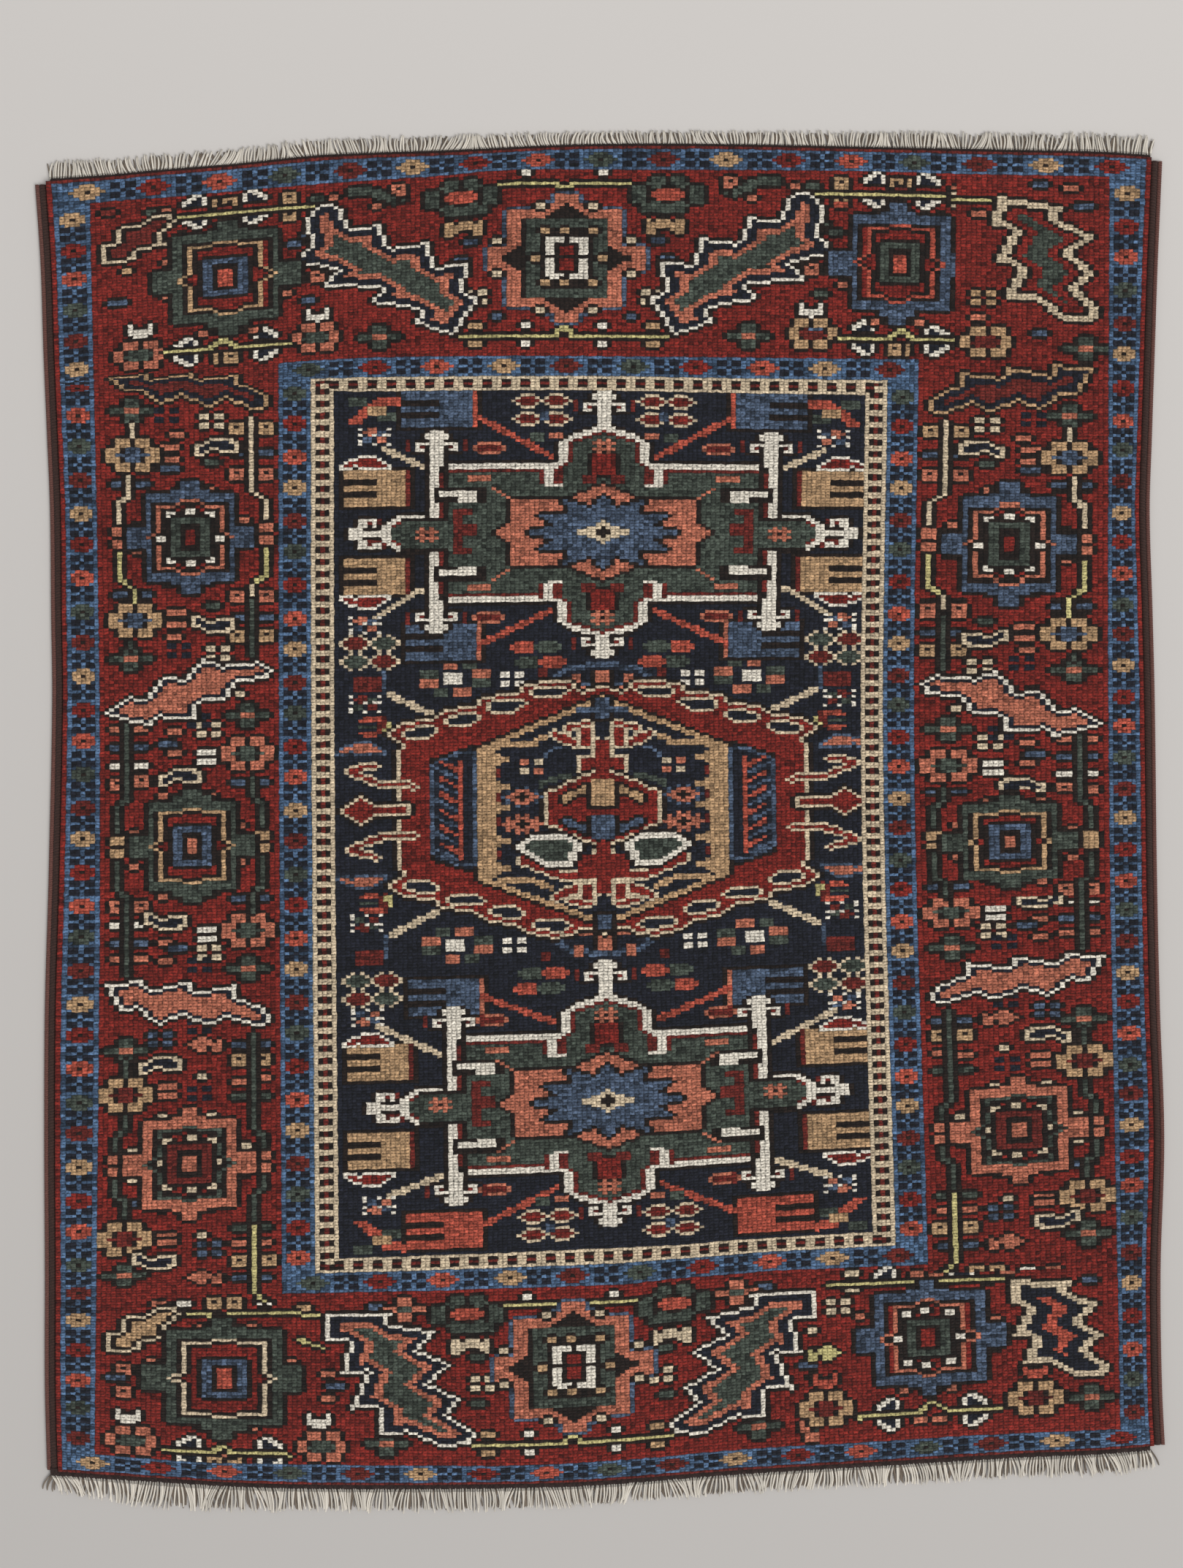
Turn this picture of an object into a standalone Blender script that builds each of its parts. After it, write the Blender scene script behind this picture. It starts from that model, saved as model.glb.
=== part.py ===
"""A hand knotted village rug lying flat: pile carpet, two wrapped selvedges and two fringed ends.

X runs across the rug, Y along its warps and Z up. Its underside lies at Z = 0, and the origin
is at the middle of its outer box on that plane. Lengths are in metres.
"""

import math

import bmesh
import bpy

# One row for each station along the rug: its place, and where the two long sides run there.
SIDES = [
    # along, left_side, right_side
    (0.7476, -0.6592, 0.6541),
    (0.6490, -0.6524, 0.6498),
    (0.5470, -0.6490, 0.6464),
    (0.4450, -0.6447, 0.6430),
    (0.3600, -0.6413, 0.6405),
    (0.2410, -0.6401, 0.6439),
    (0.1390, -0.6388, 0.6464),
    (-0.0650, -0.6430, 0.6490),
    (-0.2180, -0.6473, 0.6524),
    (-0.3710, -0.6481, 0.6575),
    (-0.5240, -0.6473, 0.6532),
    (-0.6600, -0.6473, 0.6549),
    (-0.7578, -0.6447, 0.6600),
]

# One row for each station across: its place, where the woven ends run there, and how far the
# fringe reaches past each of them.
ENDS = [
    # across, top_end, bottom_end, top_fringe, bottom_fringe
    (-0.6600, 0.7460, -0.7612, 0.0185, 0.0170),
    (-0.5793, 0.7514, -0.7663, 0.0170, 0.0215),
    (-0.5113, 0.7578, -0.7705, 0.0165, 0.0265),
    (-0.4263, 0.7646, -0.7756, 0.0160, 0.0245),
    (-0.3243, 0.7748, -0.7782, 0.0165, 0.0225),
    (-0.1713, 0.7807, -0.7782, 0.0160, 0.0230),
    (-0.0183, 0.7875, -0.7748, 0.0135, 0.0205),
    (0.1517, 0.7875, -0.7620, 0.0140, 0.0200),
    (0.3217, 0.7841, -0.7518, 0.0165, 0.0200),
    (0.4917, 0.7807, -0.7416, 0.0180, 0.0205),
    (0.5767, 0.7790, -0.7382, 0.0190, 0.0210),
    (0.6600, 0.7735, -0.7318, 0.0195, 0.0180),
]

GAP = 0.0003
OUTLINE_STEPS = 32

PILE_HEIGHT = 0.008
PILE_RIM = 0.0022

SELVEDGE_WIDTH = 0.014
SELVEDGE_END_GAP = 0.0008
WRAP_WIDTH = 0.0083
WRAP_HEIGHT = 0.0066
CORD_HEIGHT = 0.0052
LOBE_POINTS = 6

STRIP_WIDTH = 0.0034
STRIP_HEIGHT = 0.0030
STRIP_END = 0.0010

LOCK_COUNT = 112
LOCK_SHARE = 0.62
LOCK_FLOOR_REACH = 0.90
LOCK_STAGES = [
    # reach, width, height
    (0.35, 0.86, 0.0026),
    (0.72, 0.74, 0.0021),
    (1.00, 0.42, 0.0013),
]
TOP_LEAN = 0.0042
BOTTOM_LEAN = 0.0024


def between(table, column, place):
    """Smooth curve through one column of a station table: cubic pieces whose slopes at each
    station follow the neighbours on both sides, and straight on past the first and last."""
    rows = sorted((row[0], row[column]) for row in table)
    last = len(rows) - 1

    def slope(index):
        low, high = rows[max(index - 1, 0)], rows[min(index + 1, last)]
        return (high[1] - low[1]) / (high[0] - low[0])

    if place <= rows[0][0]:
        return rows[0][1] + slope(0) * (place - rows[0][0])
    if place >= rows[last][0]:
        return rows[last][1] + slope(last) * (place - rows[last][0])
    index = max(i for i in range(last) if rows[i][0] <= place)
    (start, first), (end, second) = rows[index], rows[index + 1]
    step = end - start
    t = (place - start) / step
    rise = t * t * (3 - 2 * t)
    leave = t * (1 - t) ** 2 * slope(index)
    arrive = t * t * (t - 1) * slope(index + 1)
    return first + (second - first) * rise + step * (leave + arrive)


def side_x(side, y, inset=0.0):
    """Place across of a long side at y, moved in by inset: side is -1 on the left, 1 on the right."""
    return between(SIDES, 1 if side < 0 else 2, y) - side * inset


def end_y(end, x, inset=0.0):
    """Place along of a woven end at x, moved in by inset: end is 1 at the top, -1 at the bottom."""
    return between(ENDS, 1 if end > 0 else 2, x) - end * inset


def corner(side, end, side_inset, end_inset):
    """Where an inset side and an inset end cross, found by working each out from the other."""
    y = end_y(end, side * 0.65, end_inset)
    for _ in range(6):
        x = side_x(side, y, side_inset)
        y = end_y(end, x, end_inset)
    return x, y


def evenly(start, stop, steps):
    """Numbers from start to stop in equal steps, both ends included."""
    return [start + (stop - start) * i / steps for i in range(steps + 1)]


def collection(name):
    """A new collection linked into the scene."""
    group = bpy.data.collections.new(name)
    bpy.context.scene.collection.children.link(group)
    return group


def material(name, color, roughness):
    """A plain dyed or undyed wool or cotton."""
    made = bpy.data.materials.new(name)
    made.use_nodes = True
    shader = made.node_tree.nodes["Principled BSDF"]
    shader.inputs["Base Color"].default_value = (*color, 1.0)
    shader.inputs["Roughness"].default_value = roughness
    shader.inputs["Metallic"].default_value = 0.0
    made.diffuse_color = (*color, 1.0)
    return made


def poly_curve(name, points, dimensions, group, cyclic):
    """A curve object whose one straight-sided spline runs through the points."""
    data = bpy.data.curves.new(name, "CURVE")
    data.dimensions = dimensions
    spline = data.splines.new("POLY")
    spline.points.add(len(points) - 1)
    for target, point in zip(spline.points, points):
        target.co = (point[0], point[1], 0.0, 1.0)
    spline.use_cyclic_u = cyclic
    made = bpy.data.objects.new(name, data)
    group.objects.link(made)
    return made


def pile_corner(side, end):
    """A corner of the knotted pile."""
    return corner(side, end, SELVEDGE_WIDTH, STRIP_WIDTH + GAP)


def side_stations(side):
    """Places along a side, from the bottom corner of the pile to the top one."""
    return evenly(pile_corner(side, -1)[1], pile_corner(side, 1)[1], OUTLINE_STEPS)


def end_stations(end):
    """Places across an end, from the left corner of the pile to the right one."""
    return evenly(pile_corner(-1, end)[0], pile_corner(1, end)[0], OUTLINE_STEPS)


def pile_outline():
    """Corners and edge points of the knotted pile, round the rug against the clock."""
    inset = STRIP_WIDTH + GAP
    bottom = [(x, end_y(-1, x, inset)) for x in end_stations(-1)]
    right = [(side_x(1, y, SELVEDGE_WIDTH), y) for y in side_stations(1)]
    top = [(x, end_y(1, x, inset)) for x in end_stations(1)]
    left = [(side_x(-1, y, SELVEDGE_WIDTH), y) for y in side_stations(-1)]
    return bottom[:-1] + right[:-1] + top[:0:-1] + left[:0:-1]


def make_pile(group, wool):
    """The knotted carpet: its outline filled, as thick as the pile stands, with a soft rim."""
    pile = poly_curve("pile_carpet", pile_outline(), "2D", group, True)
    pile.data.fill_mode = "BOTH"
    pile.data.extrude = PILE_HEIGHT / 2
    pile.location.z = PILE_HEIGHT / 2
    pile.data.materials.append(wool)
    weld = pile.modifiers.new("closed edges", "WELD")
    weld.merge_threshold = 0.00001
    rim = pile.modifiers.new("soft rim", "BEVEL")
    rim.width = PILE_RIM
    rim.segments = 2
    rim.limit_method = "ANGLE"
    rim.angle_limit = math.radians(50)
    return pile


def selvedge_section():
    """Flat based section of a selvedge: an overcast wrap beside the pile, then a smooth outer cord.
    Distances run outward from the pile and up from the floor. Each lobe is part of an ellipse."""
    width = SELVEDGE_WIDTH - GAP
    cord_half = (width - WRAP_WIDTH) / 2
    lobes = [
        # centre, half_width, height, first_angle, last_angle
        (width - cord_half, cord_half, CORD_HEIGHT, -55, 150),
        (WRAP_WIDTH / 2, WRAP_WIDTH / 2, WRAP_HEIGHT, 30, 235),
    ]
    points = []
    for centre, half_width, height, first, last in lobes:
        for angle in evenly(math.radians(first), math.radians(last), LOBE_POINTS):
            up = height / 2 * (1 + math.sin(angle))
            points.append((centre + half_width * math.cos(angle), max(up, 0.0)))
    points[0] = (points[0][0], 0.0)
    points[-1] = (points[-1][0], 0.0)
    return points


def make_selvedge(name, side, group, guides, wool):
    """A wrapped edge cord of one long side: its section carried along that side."""
    inset = SELVEDGE_WIDTH - GAP
    end_inset = STRIP_WIDTH + SELVEDGE_END_GAP
    low = max(end_y(-1, side_x(side, -0.75, d), end_inset) for d in (0, inset))
    high = min(end_y(1, side_x(side, 0.75, d), end_inset) for d in (0, inset))
    places = [low] + [y for y in side_stations(side) if low < y < high] + [high]
    line = [(side_x(side, y, inset), y) for y in places]
    section = [(side * out, up) for out, up in selvedge_section()][::-side]
    guide = poly_curve(name + "_section", section, "2D", guides, True)
    guide.hide_render = True
    guide.display_type = "WIRE"
    edge = poly_curve(name, line, "3D", group, False)
    edge.data.twist_mode = "Z_UP"
    edge.data.bevel_mode = "OBJECT"
    edge.data.bevel_object = guide
    edge.data.use_fill_caps = True
    edge.data.materials.append(wool)
    weld = edge.modifiers.new("closed caps", "WELD")
    weld.merge_threshold = 0.00001
    return edge


def lock_lean(end, index):
    """How far a lock's tip leans across, from two slow waves so that neighbours stay apart."""
    most = TOP_LEAN if end > 0 else BOTTOM_LEAN
    return most * (0.7 * math.sin(index * 0.31 + end) + 0.3 * math.sin(index * 0.83 + 2 * end))


def lock_reach(end, index):
    """Share of the fringe's full reach that a lock takes: uneven, but never past it."""
    uneven = 0.5 + 0.3 * math.sin(index * 2.4 + end) + 0.2 * math.sin(index * 5.3)
    return LOCK_FLOOR_REACH + (1 - LOCK_FLOOR_REACH) * uneven


def make_fringe(name, end, group, cotton):
    """A woven end strip with its locks, which rest level on the floor. The strip is a box cut into
    blocks, the outer face of every second block is drawn out in stages, and all of it is then
    bent to the rug's uneven end."""
    left = corner(-1, end, STRIP_END, 0)[0]
    right = corner(1, end, STRIP_END, 0)[0]
    pitch = (right - left) / (LOCK_COUNT + 1 - LOCK_SHARE)
    cuts = [left]
    for index in range(LOCK_COUNT):
        start = left + (index + 1 - LOCK_SHARE) * pitch
        cuts += [start, start + LOCK_SHARE * pitch]
    cuts.append(right)

    shape = bmesh.new()
    bmesh.ops.create_cube(shape, size=1.0)
    across = [edge for edge in shape.edges if abs(edge.verts[0].co.x - edge.verts[1].co.x) > 0.5]
    bmesh.ops.subdivide_edges(shape, edges=across, cuts=len(cuts) - 2, use_grid_fill=True)
    for vert in shape.verts:
        vert.co.x = cuts[round((vert.co.x + 0.5) * (len(cuts) - 1))]
        vert.co.y = STRIP_WIDTH if vert.co.y > 0 else 0.0
        vert.co.z = STRIP_HEIGHT if vert.co.z > 0 else 0.0

    shape.faces.ensure_lookup_table()
    fronts = [face for face in shape.faces if face.calc_center_median().y > STRIP_WIDTH - 1e-6]
    fronts.sort(key=lambda face: face.calc_center_median().x)
    for index, face in enumerate(fronts[1::2]):
        middle = face.calc_center_median().x
        length = between(ENDS, 3 if end > 0 else 4, middle) * lock_reach(end, index)
        for reach, width, height in LOCK_STAGES:
            face = bmesh.ops.extrude_discrete_faces(shape, faces=[face])["faces"][0]
            shift = lock_lean(end, index) * reach ** 1.5
            half = LOCK_SHARE * pitch / 2 * width
            centre = face.calc_center_median()
            for vert in face.verts:
                side = 1 if vert.co.x > centre.x else -1
                over = vert.co.z > centre.z
                vert.co = (middle + shift + side * half, STRIP_WIDTH + length * reach, height if over else 0)

    for vert in shape.verts:
        root = end_y(end, min(max(vert.co.x, left), right), STRIP_WIDTH)
        vert.co.y = root + end * vert.co.y
    bmesh.ops.recalc_face_normals(shape, faces=shape.faces)
    mesh = bpy.data.meshes.new(name)
    shape.to_mesh(mesh)
    shape.free()
    mesh.materials.append(cotton)
    made = bpy.data.objects.new(name, mesh)
    group.objects.link(made)
    return made


def centre_on_origin(group):
    """Move the pieces so that the origin is at the middle of their outer box, seen from above."""
    graph = bpy.context.evaluated_depsgraph_get()
    places = []
    for piece in group.objects:
        shape = piece.evaluated_get(graph)
        places += [shape.matrix_world @ vert.co for vert in shape.to_mesh().vertices]
        shape.to_mesh_clear()
    for axis in (0, 1):
        lowest = min(place[axis] for place in places)
        highest = max(place[axis] for place in places)
        for piece in group.objects:
            piece.location[axis] -= (lowest + highest) / 2


def main():
    for thing in list(bpy.data.objects):
        bpy.data.objects.remove(thing, do_unlink=True)

    rug = collection("persian rug")
    guides = collection("guides")
    pile_wool = material("pile wool", (0.30, 0.045, 0.035), 0.92)
    edge_wool = material("selvedge wool", (0.075, 0.030, 0.026), 0.88)
    warp_cotton = material("warp cotton", (0.60, 0.54, 0.46), 0.90)

    make_pile(rug, pile_wool)
    make_selvedge("selvedge_left", -1, rug, guides, edge_wool)
    make_selvedge("selvedge_right", 1, rug, guides, edge_wool)
    make_fringe("fringe_top", 1, rug, warp_cotton)
    make_fringe("fringe_bottom", -1, rug, warp_cotton)
    centre_on_origin(rug)


main()
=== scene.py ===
"""A hand knotted village rug, laid flat on a pale floor and seen from straight above.

The design is woven from a knot chart: 225 knots across and 443 along, one mesh face for each
knot. The chart is painted with small charted motifs, outlined shapes and repeats, in knots,
with its row 0 at the top. Lengths elsewhere are in metres: X across, Y along, Z up.
"""

import math

import bpy
import numpy as np
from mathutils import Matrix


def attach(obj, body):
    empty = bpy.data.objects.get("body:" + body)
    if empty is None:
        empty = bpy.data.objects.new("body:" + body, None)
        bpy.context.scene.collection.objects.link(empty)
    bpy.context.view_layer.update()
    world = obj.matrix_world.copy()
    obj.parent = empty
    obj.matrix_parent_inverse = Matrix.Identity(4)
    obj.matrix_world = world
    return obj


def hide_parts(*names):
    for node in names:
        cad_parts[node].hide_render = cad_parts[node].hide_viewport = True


bl_info = {
    "name": "Knotted village rug",
    "version": (1, 0, 0),
    "blender": (4, 5, 0),
    "location": "View3D > Sidebar > Rug",
    "description": "Weaves a knotted rug from a chart, with its selvedges, fringes and floor",
    "category": "Add Mesh",
}

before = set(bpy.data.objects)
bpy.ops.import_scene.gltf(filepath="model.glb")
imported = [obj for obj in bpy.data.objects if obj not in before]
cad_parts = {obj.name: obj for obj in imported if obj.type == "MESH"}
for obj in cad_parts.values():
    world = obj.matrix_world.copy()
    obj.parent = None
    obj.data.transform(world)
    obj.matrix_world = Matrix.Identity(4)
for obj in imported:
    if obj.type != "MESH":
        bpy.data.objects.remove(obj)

# Knots across and along.
NX = 225
NY = 443

# One row for each station along the rug: its place, and where the two long sides run there.
SIDES = np.array(
    [
        # along, left_side, right_side
        (0.7476, -0.6592, 0.6541),
        (0.6490, -0.6524, 0.6498),
        (0.5470, -0.6490, 0.6464),
        (0.4450, -0.6447, 0.6430),
        (0.3600, -0.6413, 0.6405),
        (0.2410, -0.6401, 0.6439),
        (0.1390, -0.6388, 0.6464),
        (-0.0650, -0.6430, 0.6490),
        (-0.2180, -0.6473, 0.6524),
        (-0.3710, -0.6481, 0.6575),
        (-0.5240, -0.6473, 0.6532),
        (-0.6600, -0.6473, 0.6549),
        (-0.7578, -0.6447, 0.6600),
    ]
)[::-1]

# One row for each station across: its place, where the woven ends run there, and how far the
# fringe reaches past each of them.
ENDS = np.array(
    [
        # across, top_end, bottom_end, top_fringe, bottom_fringe
        (-0.6600, 0.7460, -0.7612, 0.0185, 0.0170),
        (-0.5793, 0.7514, -0.7663, 0.0170, 0.0215),
        (-0.5113, 0.7578, -0.7705, 0.0165, 0.0265),
        (-0.4263, 0.7646, -0.7756, 0.0160, 0.0245),
        (-0.3243, 0.7748, -0.7782, 0.0165, 0.0225),
        (-0.1713, 0.7807, -0.7782, 0.0160, 0.0230),
        (-0.0183, 0.7875, -0.7748, 0.0135, 0.0205),
        (0.1517, 0.7875, -0.7620, 0.0140, 0.0200),
        (0.3217, 0.7841, -0.7518, 0.0165, 0.0200),
        (0.4917, 0.7807, -0.7416, 0.0180, 0.0205),
        (0.5767, 0.7790, -0.7382, 0.0190, 0.0210),
        (0.6600, 0.7735, -0.7318, 0.0195, 0.0180),
    ]
)
SELVEDGE_WIDTH = 0.014
# How far the last knots lie in from the woven ends, over the dark flatwoven strips.
TOP_INSET = 0.0030
BOTTOM_INSET = 0.0062

# Where the lines between the borders run across the rug, station by station. The first number
# is the line's knot column or row.
COLUMN_LINES = [
    # column, then stations of (along, across)
    (8, (-0.7280, -0.5878), (0.0795, -0.5818), (0.7000, -0.5929)),
    (45, (-0.5470, -0.3702), (0.0795, -0.3736), (0.5325, -0.3744)),
    (57, (-0.5087, -0.3039), (0.0795, -0.3090), (0.4994, -0.3098)),
    (168, (-0.4781, 0.3166), (0.0795, 0.3030), (0.4951, 0.3081)),
    (180, (-0.5164, 0.3812), (0.0795, 0.3651), (0.5368, 0.3702)),
    (217, (-0.7068, 0.6048), (0.0795, 0.5912), (0.7501, 0.5920)),
]
ROW_LINES = [
    # row, then stations of (across, along)
    (8, (-0.5920, 0.7187), (-0.4773, 0.7276), (-0.3583, 0.7382), (-0.2393, 0.7467),
     (-0.1883, 0.7501), (-0.1373, 0.7548), (-0.0863, 0.7575), (0.0157, 0.7574),
     (0.2027, 0.7565), (0.3387, 0.7549), (0.4067, 0.7527), (0.5937, 0.7493)),
    (69, (-0.3744, 0.5325), (-0.3243, 0.5359), (-0.2733, 0.5385), (-0.1543, 0.5407),
     (-0.0183, 0.5407), (0.1092, 0.5395), (0.3702, 0.5368)),
    (81, (-0.3098, 0.4994), (-0.0268, 0.5008), (0.1517, 0.4977), (0.3081, 0.4951)),
    (366, (-0.3039, -0.5087), (-0.1373, -0.5032), (-0.0183, -0.4981), (0.0837, -0.4934),
     (0.1517, -0.4879), (0.2367, -0.4824), (0.3166, -0.4781)),
    (378, (-0.3702, -0.5495), (-0.2223, -0.5470), (-0.1373, -0.5444), (-0.0268, -0.5410),
     (0.0327, -0.5385), (0.0837, -0.5325), (0.1517, -0.5274), (0.2027, -0.5232),
     (0.2792, -0.5198), (0.3812, -0.5160)),
    (435, (-0.5793, -0.7374), (-0.5283, -0.7417), (-0.4433, -0.7467), (-0.1458, -0.7501),
     (-0.0523, -0.7480), (0.0667, -0.7399), (0.1517, -0.7319), (0.2367, -0.7263),
     (0.3217, -0.7217), (0.4067, -0.7161), (0.4917, -0.7119), (0.5767, -0.7085)),
]
MAP_ROUNDS = 8

PILE_TOP = 0.0079
BACK_HEIGHT = 0.0004
OUTLINE_DEPTH = 0.0007
KNOT_WANDER = 0.00035
KNOT_SPREAD = 1.6

YARN_SIDES = 6
FRINGE_SEGMENTS = 6
# The lower layer's colour is painted shade: the same cotton as the upper yarns, darkened where it
# lies in the shadow under them.
FRINGE_LAYERS = [
    # yarns, radius, height, part of the fringe's reach, colour as it shows
    (620, 0.0009, 0.0021, 1.15, (0.50, 0.45, 0.40)),
    (430, 0.0011, 0.0034, 1.30, (0.90, 0.87, 0.82)),
]
# The wrapped sides' cords: inner and outer edge, height, pitch of the yarn, colour as it shows.
SELVEDGE_CORDS = [
    (0.0138, 0.0052, 0.0063, 0.0034, (0.27, 0.19, 0.17)),
    (0.0056, 0.0001, 0.0052, 0.0026, (0.45, 0.30, 0.27)),
]
SELVEDGE_STATIONS = 1900
SELVEDGE_AROUND = 12
# Colours as they show, and the coarse grid of the back.
BACK_COLOR = (0.42, 0.14, 0.11)
STRIP_COLOR = (0.17, 0.125, 0.115)
BACK_ROWS = 111
BACK_COLS = 57
HALF_FRINGE = 0.640

# The stage: floor, daylight and camera.
FLOOR_COLOR = (0.852, 0.835, 0.819)
FLOOR_HALF = 4
ROOM_LIGHT = 0.5
SUN_ENERGY = 1.55
SUN_SPREAD = 35
SUN_TILT = 40
SUN_TURN = 47
FOCAL_LENGTH = 50.0
SENSOR = 36.0
VIEW_HEIGHT = 1.824
CAMERA_X = -0.0102
CAMERA_Y = 0.0429

# The flatwoven strip's section: how far out from the last knots, and how high.
STRIP_SECTION = [(-0.4, 0.0062), (0.3, 0.0058), (0.8, 0.0045), (1.0, 0.0022), (0.9, 0.0004),
                 (-0.4, 0.0004)]

# Dyes by letter: colour as it shows, how much single knots differ, and how much the dye drifts.
DYES = {
    "R": ((0.485, 0.142, 0.114), 0.20, 0.12),
    "K": ((0.130, 0.095, 0.080), 0.18, 0.10),
    "N": ((0.110, 0.120, 0.160), 0.16, 0.08),
    "B": ((0.280, 0.335, 0.415), 0.30, 0.12),
    "L": ((0.290, 0.385, 0.500), 0.30, 0.14),
    "G": ((0.265, 0.295, 0.262), 0.24, 0.12),
    "C": ((0.700, 0.320, 0.250), 0.18, 0.12),
    "W": ((0.930, 0.895, 0.830), 0.06, 0.03),
    "I": ((0.840, 0.760, 0.640), 0.10, 0.05),
    "T": ((0.730, 0.590, 0.440), 0.14, 0.08),
    "Y": ((0.780, 0.735, 0.500), 0.12, 0.08),
    "P": ((0.735, 0.435, 0.340), 0.16, 0.10),
    "D": ((0.415, 0.145, 0.120), 0.18, 0.10),
}


def between(table, column, place):
    """Smooth curve through one column of a station table: cubic pieces whose slopes at each
    station follow the neighbours on both sides, and straight on past the first and last."""
    at, value = table[:, 0], table[:, column]
    low = np.maximum(np.arange(len(at)) - 1, 0)
    high = np.minimum(np.arange(len(at)) + 1, len(at) - 1)
    slope = (value[high] - value[low]) / (at[high] - at[low])
    index = np.clip(np.searchsorted(at, place) - 1, 0, len(at) - 2)
    step = at[index + 1] - at[index]
    t = (place - at[index]) / step
    rise = t * t * (3 - 2 * t)
    leave = t * (1 - t) ** 2 * slope[index]
    arrive = t * t * (t - 1) * slope[index + 1]
    inside = value[index] + (value[index + 1] - value[index]) * rise + step * (leave + arrive)
    below = value[0] + slope[0] * (place - at[0])
    above = value[-1] + slope[-1] * (place - at[-1])
    return np.where(place <= at[0], below, np.where(place >= at[-1], above, inside))


def side_x(side, y, inset):
    """Place across of a long side at y, moved in by inset: side is -1 on the left, 1 on the right."""
    return between(SIDES, 1 if side < 0 else 2, y) - side * inset


def end_y(end, x, inset):
    """Place along of a woven end at x, moved in by inset: end is 1 at the top, -1 at the bottom."""
    return between(ENDS, 1 if end > 0 else 2, x) - end * inset


def across_lines(lines, ends, knots):
    """Straight steps between neighbouring border lines: knots is where, on the chart's scale."""
    marks = np.array([ends[0][0]] + [line[0] for line in lines] + [ends[1][0]], float)
    places = np.array([ends[0][1]] + [line[1] for line in lines] + [ends[1][1]])
    index = np.clip(np.searchsorted(marks, knots, side="right") - 1, 0, len(marks) - 2)
    low = np.take_along_axis(places, index[None], axis=0)[0]
    high = np.take_along_axis(places, index[None] + 1, axis=0)[0]
    share = (knots - marks[index]) / (marks[index + 1] - marks[index])
    return low + (high - low) * share


def on_rug(u, v):
    """Where points of the chart lie on the rug. Columns and rows bend, so x is worked out from
    y and y from x, a few times over, from a plain even start."""
    x = (u / NX - 0.5) * 1.25
    y = (0.5 - v / NY) * 1.53
    for _ in range(MAP_ROUNDS):
        columns = [(line[0], between(np.array(line[1:]), 1, y)) for line in COLUMN_LINES]
        ends = ((0, side_x(-1, y, SELVEDGE_WIDTH)), (NX, side_x(1, y, SELVEDGE_WIDTH)))
        x = across_lines(columns, ends, u)
        rows = [(line[0], between(np.array(line[1:]), 1, x)) for line in ROW_LINES]
        ends = ((0, end_y(1, x, TOP_INSET)), (NY, end_y(-1, x, BOTTOM_INSET)))
        y = across_lines(rows, ends, v)
    return x, y


class Chart:
    """The knot chart: one dye letter for each knot, painted over from the ground up."""

    def __init__(self):
        self.knots = np.full((NY, NX), ord("R"), np.uint8)

    def block(self, dye, col, row, wide, high):
        """A filled rectangle from its upper left knot."""
        self.knots[row : row + high, col : col + wide] = ord(dye)

    def blocks(self, table):
        """Several filled rectangles, one after the other."""
        for dye, col, row, wide, high in table:
            self.block(dye, col, row, wide, high)

    def stamp(self, motif, col, row, flip="", dyes=None, edge=None):
        """A charted motif centred on a knot: a full stop lets the ground show. flip holds x
        for left to right and y for top to bottom, dyes swaps letters, and edge is the dye of
        a line one knot wide round it."""
        rows = [list(line) for line in motif.split()]
        picture = np.array([[ord(c) for c in line] for line in rows], np.uint8)
        for old, new in (dyes or {}).items():
            picture = np.where(picture == ord(old), ord(new), picture)
        if "x" in flip:
            picture = picture[:, ::-1]
        if "y" in flip:
            picture = picture[::-1]
        high, wide = picture.shape
        left = int(round(col - wide / 2))
        top = int(round(row - high / 2))
        part = np.zeros((NY, NX), bool)
        part[top : top + high, left : left + wide] = picture != ord(".")
        if edge:
            self.knots[grow(part, 1)] = ord(edge)
        self.knots[part] = picture[picture != ord(".")]

    def mask(self, points):
        """The knots whose middles lie inside a closed outline, by counting its crossings."""
        middle_x = np.arange(NX)[None, :] + 0.5
        middle_y = np.arange(NY)[:, None] + 0.5
        inside = np.zeros((NY, NX), bool)
        for (x0, y0), (x1, y1) in zip(points, points[1:] + points[:1]):
            if y0 == y1:
                continue
            spans = (y0 > middle_y) != (y1 > middle_y)
            crossing = x0 + (middle_y - y0) * (x1 - x0) / (y1 - y0)
            inside ^= spans & (middle_x < crossing)
        return inside

    def shape(self, points, *layers):
        """An outlined figure: each layer is a dye and how many knots it lies in from the
        outline, less than none for one that runs round the outside."""
        self.fill(self.mask(points), *layers)

    def fill(self, mask, *layers):
        """Layers of dye from the outside of a mask inwards."""
        for dye, depth in layers:
            area = grow(mask, -depth) if depth < 0 else shrink(mask, depth)
            self.knots[area] = ord(dye)

    def path(self, points, dye, wide=1, edge="K"):
        """A stem through points, wide knots across, with a dark knot on each side of it."""
        stem = np.zeros((NY, NX), bool)
        for (x0, y0), (x1, y1) in zip(points, points[1:]):
            steps = int(max(abs(x1 - x0), abs(y1 - y0)) * 2) + 1
            upright = abs(y1 - y0) > abs(x1 - x0)
            for i in range(steps + 1):
                x = x0 + (x1 - x0) * i / steps
                y = y0 + (y1 - y0) * i / steps
                col, row = int(x), int(y)
                if upright:
                    stem[row, col : col + wide] = True
                else:
                    stem[row : row + wide, col] = True
        if edge:
            self.knots[grow(stem, 1) & ~stem] = ord(edge)
        self.knots[stem] = ord(dye)

    def figures(self, table, edge="K"):
        """The same motif in the same dyes at several places, for each row of a table."""
        for motif, dyes, *places in table:
            for place in places:
                flip = place[2] if len(place) > 2 else ""
                self.stamp(motif, place[0], place[1], flip, dict(zip("ox", dyes)), edge)

    def redye(self, col, row, wide, high, swaps):
        """Changes dyes within a rectangle, all at once."""
        part = self.knots[row : row + high, col : col + wide]
        before = part.copy()
        for old, new in swaps.items():
            part[before == ord(old)] = ord(new)


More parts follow.
